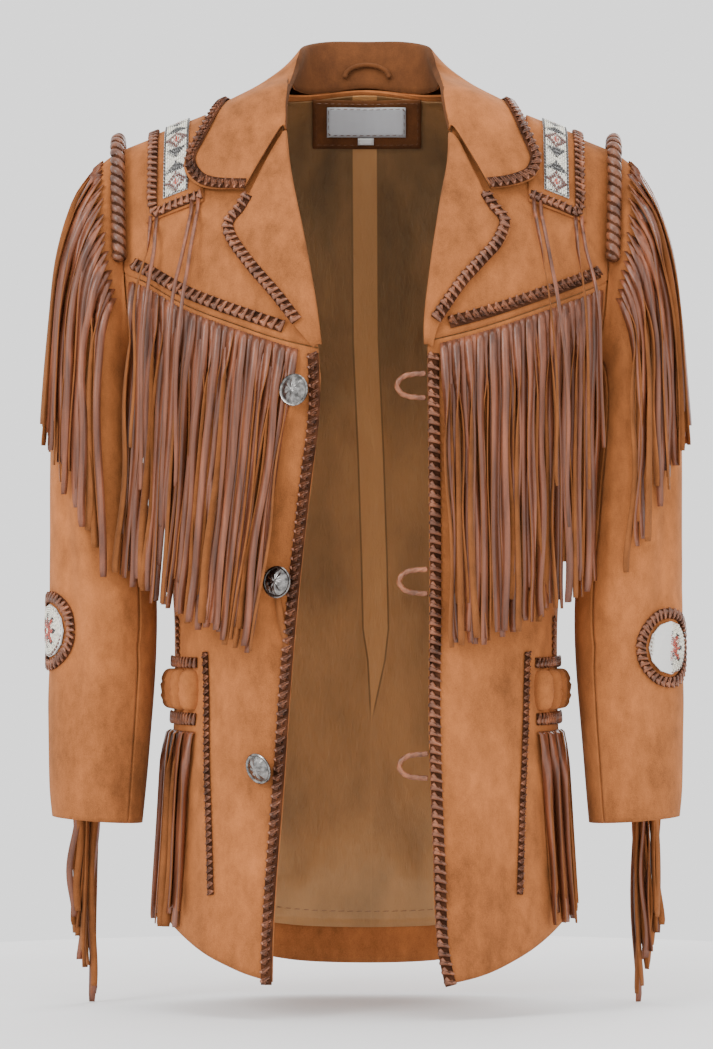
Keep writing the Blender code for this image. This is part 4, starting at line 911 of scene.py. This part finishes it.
class COAT_OT_lining(CoatOperator, bpy.types.Operator):
    """Hang the satin lining, with its centre pleat and the slack of its cloth"""
    bl_idname = "coat.hang_lining"
    bl_label = "Hang lining"

    def execute(self, context):
        bm = smooth_copy("back_lining", 3)
        for vert in bm.verts:
            spot = vert.co / MM
            vert.co += body_shift(vert.co)
            inward = sum(along_fold(fold, spot.x, spot.z) for fold in LINING_FOLDS)
            inward += 1.6 * (noise.noise(Vector((spot.x * 0.02, 3, spot.z * 0.011))) + 0.4)
            aside = abs(spot.x - self.pleat_middle(spot.z)) / (PLEAT_WIDTH / 2)
            fade = min(max((spot.z - PLEAT[-1].z + 60) / 60, 0.0), 1.0)
            inward += PLEAT_HEIGHT * fade * min(max((1.18 - aside) / 0.3, 0.0), 1.0)
            rim = min(max((spot.z - LINING_HEM - 6) / 40, 0.0), 1.0) * min(max((180 - abs(spot.x)) / 40, 0.0), 1.0)
            inward = max(inward, 0.0) * rim * min(max((10 - spot.z) / 60, 0.0), 1.0)
            vert.co.y -= inward * MM
        piece = finish_piece("satin_lining", bm, ["satin"], ["back_lining"], sharp=1.2)
        self.stitch_hem()
        return {"FINISHED"}

    def pleat_middle(self, z):
        """Distance of the pleat's middle from the centre at a height."""
        k = max([i for i in range(len(PLEAT) - 1) if PLEAT[i].z >= z] or [0])
        share = (z - PLEAT[k].z) / (PLEAT[k + 1].z - PLEAT[k].z)
        return PLEAT[k].x + (PLEAT[k + 1].x - PLEAT[k].x) * min(max(share, 0.0), 1.0)

    def stitch_hem(self):
        """The line of thread above the lining's hem."""
        lining = bpy.data.objects["satin_lining"]
        leaves = []
        shape = bmesh.new()
        shape.from_mesh(lining.data)
        tree = BVHTree.FromBMesh(shape)
        shape.free()
        for k in range(-HEM_STITCHES, HEM_STITCHES + 1):
            x = k * HEM_STITCH_PITCH
            z = LINING_HEM + HEM_CURVE * (abs(x) / HEM_HALF) ** 3 + STITCH_ABOVE_HEM
            leaves += stitch(tree, Vector((x, -60, z)), Vector((1, 0, 0)), length=0.0031, width=0.0008)
        finish_piece("lining_hem_stitches", scatter(leaves), ["thread"])


class COAT_OT_lacing(CoatOperator, bpy.types.Operator):
    """Lace the plaited edges: two rows of slanted leather stitches over a dark strip of painted shade"""
    bl_idname = "coat.lace_edges"
    bl_label = "Lace plaited edges"

    def execute(self, context):
        for entry in LACED:
            for node in [entry.node] if entry.node in NODES else [entry.node + "_" + label for label, _ in SIDES]:
                stations = plait_stations(node)
                bm = scatter(lace(stations, entry.width * MM, settings().stitch_pitch * entry.pitch), 8, 6)
                steps = max(int(lengths_of(stations)[-1] / 0.005), 6)
                # The strip below the stitches takes the dark finish: painted shade between them.
                strip_along(bm, stations, entry.width * 0.8 * MM, lift=0.0006, wall=0.0006, steps=steps, finish=1)
                bend_verts(bm.verts, node)
                finish_piece(node + "_lacing", bm, ["plait", "gap"], [node], sharp=3.1)
        self.lace_seams()
        return {"FINISHED"}

    def lace_seams(self):
        """The short lacing down each side seam above its pocket."""
        for label, side in SIDES:
            node = "front_" + label
            tree = surface_of(node)
            stations = []
            for k in range(8):
                turn = math.radians(SEAM_TURN)
                z = SEAM_TOP + (SEAM_END - SEAM_TOP) * k / 7
                way = Vector((math.cos(turn) * side, -math.sin(turn), 0))
                heart = Vector((0, BODY_MIDDLE_Y, z)) * MM
                hit, normal, _, _ = tree.ray_cast(heart + way * 0.4, -way)
                if hit is None:
                    continue
                if normal.dot(way) < 0:
                    normal = -normal
                stations.append(Station(hit, Vector((0, 0, 1)).cross(normal).normalized(), normal))
            if len(stations) < 3:
                raise RuntimeError("the side seam was not found on " + node)
            bm = scatter(lace(stations, SEAM_WIDTH * MM, settings().stitch_pitch * SEAM_PITCH))
            bend_verts(bm.verts, node)
            finish_piece("side_seam_lacing_" + label, bm, ["plait"], sharp=3.1)


class COAT_OT_wraps(CoatOperator, bpy.types.Operator):
    """Wind the leather over the armholes, and make the button loops and the hanger"""
    bl_idname = "coat.wind_cords"
    bl_label = "Wind wraps and loops"

    def execute(self, context):
        for label, _ in SIDES:
            node = "armhole_roll_" + label
            line = [centre_of(ring) for ring in tube_rings(node, 6)]
            bm = bmesh.new()
            rope(bm, line, radius=0.0070, lobes=2, pitch=0.0092, depth=0.30, around=24, step=0.0009, groove_shade=1)
            finish_piece(node + "_wraps", bm, ["wrap", "gap"], [node], sharp=1.4)
        for number in (1, 2, 3):
            node = "loop_" + str(number)
            line = [centre_of(ring) for ring in tube_rings(node, self.sides(node))]
            bm = bmesh.new()
            rope(bm, line, radius=0.0025, lobes=3, pitch=0.0075, depth=0.34, around=18, step=0.0007)
            finish_piece(node + "_cord", bm, ["plait"], [node], sharp=1.4)
        line = [centre_of(ring) for ring in tube_rings("hanger_loop", self.sides("hanger_loop"))]
        bm = bmesh.new()
        rope(bm, line, radius=0.0022, lobes=1, pitch=0.5, depth=0.05, around=14, step=0.001)
        finish_piece("hanger_cord", bm, ["suede_dark_and_shade"], ["hanger_loop"], sharp=1.4)
        return {"FINISHED"}

    def sides(self, node):
        """How many corners a cord's closing face has."""
        bm = copy_of(node)
        bm.normal_update()
        sizes = [size for size in (6, 8, 4, 12) if flat_ends(bm, size)
                 and any(len(rings_from(ends, size)) * size == len(bm.verts) for ends in flat_ends(bm, size))]
        bm.free()
        if not sizes:
            raise RuntimeError(node + " has no closing face")
        return sizes[0]


class COAT_OT_fringe(CoatOperator, bpy.types.Operator):
    """Cut the fringe: strands that wave and turn, smooth on one side and napped on the other"""
    bl_idname = "coat.cut_fringe"
    bl_label = "Cut fringe"

    def execute(self, context):
        for entry in FRINGES:
            for label, side in SIDES:
                self.hang(entry, label, side)
        self.tail()
        return {"FINISHED"}

    def hang(self, entry, label, side):
        """All strands of one fringe: those of the frame, and one behind each two of them."""
        node = entry.node + "_" + label
        on_sleeve = node.startswith(("armhole", "sleeve"))
        heart = Vector((SLEEVE_MIDDLE.x * side, SLEEVE_MIDDLE.y, 0)) * MM if on_sleeve else Vector()
        strands = self.in_order([self.line_of(rings, heart) for rings in strands_of(node, entry.parts)])
        bm = bmesh.new()
        for k, stations in enumerate(strands):
            seed = k * 3 + (70 if side > 0 else 0)
            if entry.rise:
                first = stations[0]
                start = first.place + Vector((0, 0, entry.rise)) * MM - first.out * 0.002
                stations = [Station(start, first.across, first.out)] + stations
            self.strand(bm, stations, entry, seed)
            beside = strands[k + 1] if k + 1 < len(strands) else None
            if entry.rise or not beside or (beside[0].place - stations[0].place).length > 0.03:
                continue
            behind = [Station((a.place + b.place) / 2 - a.out * entry.behind * MM, (a.across + b.across).normalized(),
                              (a.out + b.out).normalized()) for a, b in zip(stations, beside)]
            self.strand(bm, behind, entry, seed + 200, 0.9 + steady(k, 0.07))
        bend_verts(bm.verts, node)
        piece = finish_piece(node + "_strands", bm, ["smooth", "flesh"], [node], sharp=1.2)
        give_wall(piece, 1.15, 1)

    def tail(self):
        """The loose end of the thong that holds the middle button."""
        tree = surface_of("front_r")
        stations = []
        for x, z, lift in TAIL:
            hit, normal, _, _ = tree.ray_cast(Vector((x, -400, z)) * MM, Vector((0, 1, 0)))
            if hit is None:
                raise RuntimeError("the thong's tail misses the front")
            stations.append(Station(hit + normal * lift * MM, Vector((0, 0, 1)).cross(normal).normalized(), normal))
        bm = bmesh.new()
        self.strand(bm, stations, Fringe("tail", parts=0, width=6.0, wave=0.6, turn=12, behind=0, rise=0), 31)
        piece = finish_piece("button_thong_tail", bm, ["flesh", "smooth"], sharp=1.2)
        give_wall(piece, 1.2)

    def line_of(self, rings, heart):
        """Stations down one strand, each with its outward side."""
        stations = []
        for ring in rings:
            across = long_way(ring)
            across.z = 0
            across.normalize()
            place = centre_of(ring)
            out = across.cross(Vector((0, 0, 1)))
            if out.dot(place - Vector((heart.x, heart.y, place.z))) < 0:
                across, out = -across, -out
            stations.append(Station(place, across, out))
        return stations

    def in_order(self, strands):
        """Strands in the order of their roots."""
        left = sorted(strands, key=lambda stations: stations[0].place.x)
        ordered = [left.pop(0)]
        while left:
            here = ordered[-1][0].place
            left.sort(key=lambda stations: (stations[0].place - here).length)
            ordered.append(left.pop(0))
        return ordered

    def strand(self, bm, stations, entry, seed, share_down=1.0):
        """One strand, swept down its line with waves and a turn."""
        lengths = lengths_of(stations)
        total = lengths[-1] * min(share_down, 1.0)
        made = bmesh.ops.create_grid(bm, x_segments=1, y_segments=STRAND_STEPS, size=0.5)
        turn = math.radians(steady(seed, entry.turn))
        if abs(steady(seed + 5)) > 0.68:
            turn += math.copysign(math.radians(110), turn)
        wave = entry.wave * MM * steady(seed + 1)
        curl = entry.wave * MM * abs(steady(seed + 2)) * 0.4
        beats = 1.1 + abs(steady(seed + 3))
        lean = steady(seed + 4, 2.4) * MM
        settle = 0.22 + 0.2 * abs(steady(seed + 6))
        for vert in made["verts"]:
            u, share = vert.co.x, 0.5 - vert.co.y
            spot = read_line(stations, lengths, total * share)
            grow = min(share / settle, 1.0)
            grow = grow * grow * (3 - 2 * grow)
            angle = turn * grow * (0.7 + 0.3 * share)
            across = spot.across * math.cos(angle) + spot.out * math.sin(angle)
            place = spot.place + spot.across * (wave * math.sin(share * beats * 2 * math.pi) * grow + lean * share)
            place += spot.out * curl * (1 + math.sin(share * beats * 4.1 + 1.0)) * grow * 0.5
            narrow = 1.0 if share < 0.97 else 0.82
            vert.co = place + across * u * entry.width * MM * narrow
        verts = set(made["verts"])
        first = max(verts, key=lambda vert: vert.co.z).link_faces[0]
        first.normal_update()
        if first.normal.dot(stations[0].out) < 0:
            bm.faces.index_update()
            bmesh.ops.reverse_faces(bm, faces=in_turn({face for vert in verts for face in vert.link_faces}))


class COAT_OT_beads(CoatOperator, bpy.types.Operator):
    """String the beadwork: woven strips on the shoulders and rosettes on the elbows"""
    bl_idname = "coat.string_beads"
    bl_label = "String beads"

    def execute(self, context):
        for label, _ in SIDES:
            self.shoulder(label)
            self.elbow(label)
        return {"FINISHED"}

    def shoulder(self, label):
        """Rows of beads over the shoulder."""
        node = "bead_strip_" + label
        low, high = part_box(node)
        step = settings().bead
        leaves = []
        columns = int((high[0] - low[0]) / step)
        edge = (high[0] - low[0] - (columns - 1) * step) / 2
        for column in range(columns):
            line = self.profile(node, low[0] + edge + column * step)
            lengths = lengths_of(line)
            for row in range(int(lengths[-1] / step)):
                spot = read_line(line, lengths, (row + 0.5) * step)
                colour = self.strip_colour(column - (columns - 1) / 2, row)
                leaves.append(leaf(spot.place + spot.out * step * 0.22, spot.across, spot.out,
                                   step * 1.02, step * 0.98, step * 0.95, colour))
        self.finish_beads(node, scatter(leaves, 7, 4))

    def finish_beads(self, node, bm):
        """Finish the beads of a strip or disc, and the woven backing below them."""
        finish_piece(node + "_beads", bm, BEADS)
        NODES[node].data.materials.clear()
        NODES[node].data.materials.append(finish_of("tab"))

    def profile(self, node, x):
        """The line of a strip's upper side at a distance from the centre."""
        bm = copy_of(node)
        cut = bmesh.ops.bisect_plane(bm, geom=bm.verts[:] + bm.edges[:] + bm.faces[:], dist=0.000001,
                                     plane_co=(x, 0, 0), plane_no=(1, 0, 0))
        heart = Vector((x, BODY_MIDDLE_Y * MM, -0.12))
        points = [item.co.copy() for item in cut["geom_cut"] if isinstance(item, bmesh.types.BMVert)]
        bm.free()

        def turn(point):
            """Angle of a point round the shoulder, from the front to the back."""
            return math.atan2(point.y - heart.y, point.z - heart.z)
        points.sort(key=turn)
        upper = []
        for point in points:
            if upper and abs(turn(point) - turn(upper[-1])) < 0.012:
                if (point - heart).length > (upper[-1] - heart).length:
                    upper[-1] = point
            else:
                upper.append(point)
        stations = []
        for k, point in enumerate(upper):
            way = (upper[min(k + 1, len(upper) - 1)] - upper[max(k - 1, 0)]).normalized()
            across = Vector((1, 0, 0))
            out = across.cross(way).normalized()
            if out.dot(point - heart) < 0:
                out = -out
            stations.append(Station(point, across, out))
        return stations

    def strip_colour(self, column, row):
        """A traditional geometric repeat: diamonds and stepped triangles between black bars."""
        across, at = abs(column), row % 26
        if across > 5.4 or at in (0, 13):
            return BLACK
        if at < 13:
            reach = across + abs(at - 6.5)
            if reach < 1.6:
                return RED
            return WHITE if reach < 3.1 or reach > 5.6 else BROWN
        return BLACK if across < abs(at - 19.5) - 0.6 else WHITE

    def elbow(self, label):
        """Rings of beads on the elbow's disc, with an eight-pointed star."""
        node = "elbow_disc_" + label
        tree = surface_of(node)
        centre = sum((Vector(corner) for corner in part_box(node)), Vector()) / 2
        heart = Vector((math.copysign(SLEEVE_MIDDLE.x * MM, centre.x), SLEEVE_MIDDLE.y * MM, centre.z))
        out = (centre - heart).normalized()
        side = Vector((0, 0, 1)).cross(out).normalized()
        step = settings().bead * 1.08
        leaves = []
        rings = int(ROSETTE / step)
        for ring in range(rings + 1):
            radius = ring * step
            count = max(int(round(2 * math.pi * radius / step)), 1)
            for k in range(count):
                turn = 2 * math.pi * (k + 0.5 * (ring % 2)) / count
                start = centre + out * 0.05 + (side * math.cos(turn) + Vector((0, 0, 1)) * math.sin(turn)) * radius
                hit, normal, _, _ = tree.ray_cast(start, -out)
                if hit is None:
                    continue
                if normal.dot(out) < 0:
                    normal = -normal
                along = Vector((0, 0, 1)).cross(normal).normalized()
                colour = self.star_colour(radius / (rings * step), turn)
                leaves.append(leaf(hit + normal * step * 0.25, along, normal, step, step, step * 0.95, colour))
        bm = scatter(leaves, 7, 4)
        bend_verts(bm.verts, node)
        self.finish_beads(node, bm)

    def star_colour(self, share, turn):
        """Colour of a bead by its place in the star."""
        points = abs(math.cos(4 * turn))
        tip = 0.30 + 0.42 * points ** 1.6
        if share < 0.14:
            return WHITE
        if share < tip - 0.12:
            return RED
        if share < tip:
            return BLACK
        return BROWN if share > 0.93 and int(turn * 12) % 2 else WHITE


class COAT_OT_pockets(CoatOperator, bpy.types.Operator):
    """Pad the pockets' rolls"""
    bl_idname = "coat.pad_pockets"
    bl_label = "Pad pocket rolls"

    def execute(self, context):
        for label, side in SIDES:
            node = "pocket_rolls_" + label
            shape = copy_of(node)
            heart = Vector((0, BODY_MIDDLE_Y * MM, 0))
            turns = [math.atan2(heart.y - vert.co.y, vert.co.x * side) for vert in shape.verts]
            low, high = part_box(node)
            tree = BVHTree.FromBMesh(shape)
            shape.free()
            first, last = min(turns), max(turns)
            middle = Vector((0, heart.y, (low[2] + high[2]) / 2))
            bm = bmesh.new()
            for i in range(ROLLS):
                turn = first + (last - first) * (i + 0.5) / ROLLS
                way = Vector((math.cos(turn) * side, -math.sin(turn), 0))
                hit, _, _, _ = tree.ray_cast(middle + way * 0.4, -way)
                if hit is None:
                    raise RuntimeError("no roll was found on " + node)
                self.pad(bm, hit, way, (last - first) / ROLLS * (hit - middle).length, high[2] - low[2], i)
            bmesh.ops.recalc_face_normals(bm, faces=bm.faces)
            bend_verts(bm.verts, node)
            piece = finish_piece(node + "_padding", bm, ["suede"], [node], sharp=1.4)
        return {"FINISHED"}

    def pad(self, bm, top, way, wide, tall, seed):
        """One padded roll, its skin gathered across in small creases."""
        made = bmesh.ops.create_uvsphere(bm, u_segments=28, v_segments=24, radius=1.0)
        side = Vector((0, 0, 1)).cross(way).normalized()
        thick = wide * 1.2
        for vert in made["verts"]:
            x, y, z = vert.co
            reach = math.hypot(x, y)
            full = reach ** 0.55 / max(reach, 0.0001)
            high = math.copysign(abs(z) ** 0.8, z)
            creases = 0.065 * math.sin(high * 13 + 2.4 * x + seed * 2) + 0.05 * math.sin(high * 21 - 3.1 * y + seed)
            full *= 1 + creases * (1 - abs(high))
            vert.co = (top - way * thick * 0.5 + side * x * full * wide * 0.475 + way * y * full * thick * 0.5
                       + Vector((0, 0, high * tall * 0.54)))


class COAT_OT_buttons(CoatOperator, bpy.types.Operator):
    """Set the domed metal buttons"""
    bl_idname = "coat.set_buttons"
    bl_label = "Set buttons"

    # Profile of a button: distance from its axis and height over the cloth
    PROFILE = [(0.0, 0.0), (1.9, 0.0), (2.1, 4.0), (2.6, 9.2), (9.0, 9.6), (13.0, 10.2), (14.3, 11.2), (14.4, 12.2),
               (13.6, 12.9), (12.6, 12.7), (12.0, 12.3), (11.2, 12.7), (9.0, 14.3), (6.2, 15.6), (3.2, 16.3),
               (0.0, 16.5)]

    # How far each button leans on its thong, to the wearer's left and upwards
    LEANS = {1: (-0.30, 0.16), 2: (-0.24, 0.20), 3: (-0.42, -0.34)}

    def execute(self, context):
        for number, (aside, upward) in self.LEANS.items():
            node = "button_" + str(number)
            rings = tube_rings(node, 12)
            ends = [centre_of(rings[0]), centre_of(rings[-1])]
            ends.sort(key=lambda point: point.y)
            axis = ((ends[0] - ends[1]).normalized() + Vector((aside, 0, upward))).normalized()
            bm = bmesh.new()
            verts = [bm.verts.new((radius * MM, 0, height * MM)) for radius, height in self.PROFILE]
            edges = [bm.edges.new(pair) for pair in zip(verts, verts[1:])]
            bmesh.ops.spin(bm, geom=verts + edges, cent=(0, 0, 0), axis=(0, 0, 1), angle=2 * math.pi,
                           steps=64, use_merge=True)
            bmesh.ops.remove_doubles(bm, verts=bm.verts, dist=0.00001)
            for vert in bm.verts:
                reach = math.hypot(vert.co.x, vert.co.y) / MM
                turn = math.atan2(vert.co.y, vert.co.x)
                if vert.co.z > 12.0 * MM and reach > 13.3:
                    vert.co.z += 0.25 * MM * math.cos(32 * turn)
                elif vert.co.z > 12.5 * MM:
                    petals = math.cos(8 * turn) * math.sin(math.pi * min(reach / 11.5, 1.0))
                    vert.co.z += 0.42 * MM * petals
            side = Vector((0, 0, 1)).cross(axis).normalized()
            turn = Matrix((side, axis.cross(side), axis)).transposed().to_4x4()
            bmesh.ops.transform(bm, matrix=Matrix.Translation(ends[1]) @ turn, verts=bm.verts)
            bmesh.ops.recalc_face_normals(bm, faces=bm.faces)
            finish_piece(node + "_concho", bm, ["metal"], [node], sharp=0.8)
        return {"FINISHED"}


class COAT_OT_labels(CoatOperator, bpy.types.Operator):
    """Sew in the bare labels with their stitched border"""
    bl_idname = "coat.sew_labels"
    bl_label = "Sew labels"

    def execute(self, context):
        for node, finish, slot in (("label_patch", "suede_patch", "dark_suede"),
                                   ("woven_label", "woven", "woven_tape"), ("size_tab", "tab", "woven_tape")):
            bm = smooth_copy(node, 2)
            piece = finish_piece(node + "_cloth", bm, [finish], [node])
        self.border("label_patch", 3.2, "patch_stitches")
        self.border("woven_label", 1.6, "label_stitches")
        return {"FINISHED"}

    def border(self, node, inset, name):
        """A line of stitches just inside a label's edge."""
        tree = surface_of(node)
        low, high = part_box(node)
        x0, x1 = low[0] / MM + inset, high[0] / MM - inset
        leaves = []
        top = self.edge(tree, 0, high[2] / MM) - inset
        bottom = self.edge(tree, 0, low[2] / MM - 8, 1) + inset
        corners = [(x0, top), (x1, top), (x1, bottom), (x0, bottom), (x0, top)]
        for (ax, az), (bx, bz) in zip(corners, corners[1:]):
            run = math.hypot(bx - ax, bz - az)
            count = max(int(run / 3.0), 2)
            for k in range(count):
                share = (k + 0.5) / count
                spot = Vector((ax + (bx - ax) * share, -40, az + (bz - az) * share))
                along = Vector((bx - ax, 0, bz - az)).normalized()
                leaves += stitch(tree, spot, along, length=0.0021, width=0.0007)
        finish_piece(name, scatter(leaves), ["thread"])

    def edge(self, tree, x, start, way=-1):
        """Height where a label begins, looking down or up from a start."""
        z = start
        for _ in range(200):
            hit, _, _, _ = tree.ray_cast(Vector((x, -40, z)) * MM, Vector((0, 1, 0)))
            if hit is not None:
                return z
            z += way * 0.25
        raise RuntimeError("the label's edge was not found")


class COAT_OT_stage(CoatOperator, bpy.types.Operator):
    """Set the pale floor, the soft lights and the camera"""
    bl_idname = "coat.set_stage"
    bl_label = "Set stage"

    # Soft lights: name, place, size and power; each is aimed at the coat's middle
    LIGHTS = [("key", (-2.4, -2.5, 1.4), 1.3, 72), ("fill", (2.5, -2.5, 0.7), 1.7, 20),
              ("top", (0.0, -1.0, 2.4), 1.5, 26), ("rear", (1.6, 2.6, 1.2), 1.6, 40)]
    AIM = Vector((0, 0, -0.38))
    AIR = 1.6
    FLOOR_RADIUS = 0.8
    CAMERA = (-0.0087, -4.5, -0.372)
    LENS = 168.0
    FILM = 36.0

    def execute(self, context):
        low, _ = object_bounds()
        scene = context.scene
        bm = bmesh.new()
        bmesh.ops.create_circle(bm, cap_ends=True, segments=96, radius=self.FLOOR_RADIUS)
        bmesh.ops.translate(bm, verts=bm.verts, vec=(0, 0, low[2] - 0.0005))
        mesh = bpy.data.meshes.new("studio_floor")
        bm.to_mesh(mesh)
        bm.free()
        mesh.materials.append(finish_of("floor"))
        floor = bpy.data.objects.new("studio_floor", mesh)
        scene.collection.objects.link(floor)
        floor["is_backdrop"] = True
        for name, place, size, power in self.LIGHTS:
            lamp = bpy.data.lights.new(name, "AREA")
            lamp.energy = power
            lamp.shape = "SQUARE"
            lamp.size = size
            light = bpy.data.objects.new(name, lamp)
            light.location = place
            light.rotation_euler = (self.AIM - Vector(place)).to_track_quat("-Z", "Y").to_euler()
            scene.collection.objects.link(light)
        world = bpy.data.worlds.new("studio")
        world.use_nodes = True
        air = world.node_tree.nodes["Background"]
        air.inputs["Color"].default_value = (1, 1, 1, 1)
        air.inputs["Strength"].default_value = self.AIR
        scene.world = world
        lens = bpy.data.cameras.new("camera")
        lens.lens = self.LENS
        lens.sensor_width = self.FILM
        lens.clip_end = 50.0
        camera = bpy.data.objects.new("camera", lens)
        camera.location = self.CAMERA
        camera.rotation_euler = (math.pi / 2, 0, 0)
        scene.collection.objects.link(camera)
        scene.camera = camera
        return {"FINISHED"}


OPERATORS = [COAT_OT_stage, COAT_OT_suede, COAT_OT_lining, COAT_OT_lacing, COAT_OT_wraps, COAT_OT_fringe,
             COAT_OT_beads, COAT_OT_pockets, COAT_OT_buttons, COAT_OT_labels]


class COAT_PT_panel(bpy.types.Panel):
    """Lists the coat's colours and the steps that build it."""
    bl_idname = "COAT_PT_panel"
    bl_label = "Suede coat"
    bl_space_type = "VIEW_3D"
    bl_region_type = "UI"
    bl_category = "Coat"

    def draw(self, context):
        column = self.layout.column()
        for name in CoatSettings.__annotations__:
            column.prop(context.scene.coat_settings, name)
        for operator in OPERATORS:
            column.operator(operator.bl_idname)


CLASSES = [CoatSettings, *OPERATORS, COAT_PT_panel]


def register():
    """Register the settings, the operators and the panel."""
    for item in CLASSES:
        bpy.utils.register_class(item)
    bpy.types.Scene.coat_settings = bpy.props.PointerProperty(type=CoatSettings)


def unregister():
    """Take the settings, the operators and the panel away."""
    del bpy.types.Scene.coat_settings
    for item in reversed(CLASSES):
        bpy.utils.unregister_class(item)


def main():
    """Build the coat on its frame."""
    register()
    for operator in OPERATORS:
        group, step = operator.bl_idname.split(".")
        getattr(getattr(bpy.ops, group), step)()


if __name__ == "__main__":
    main()
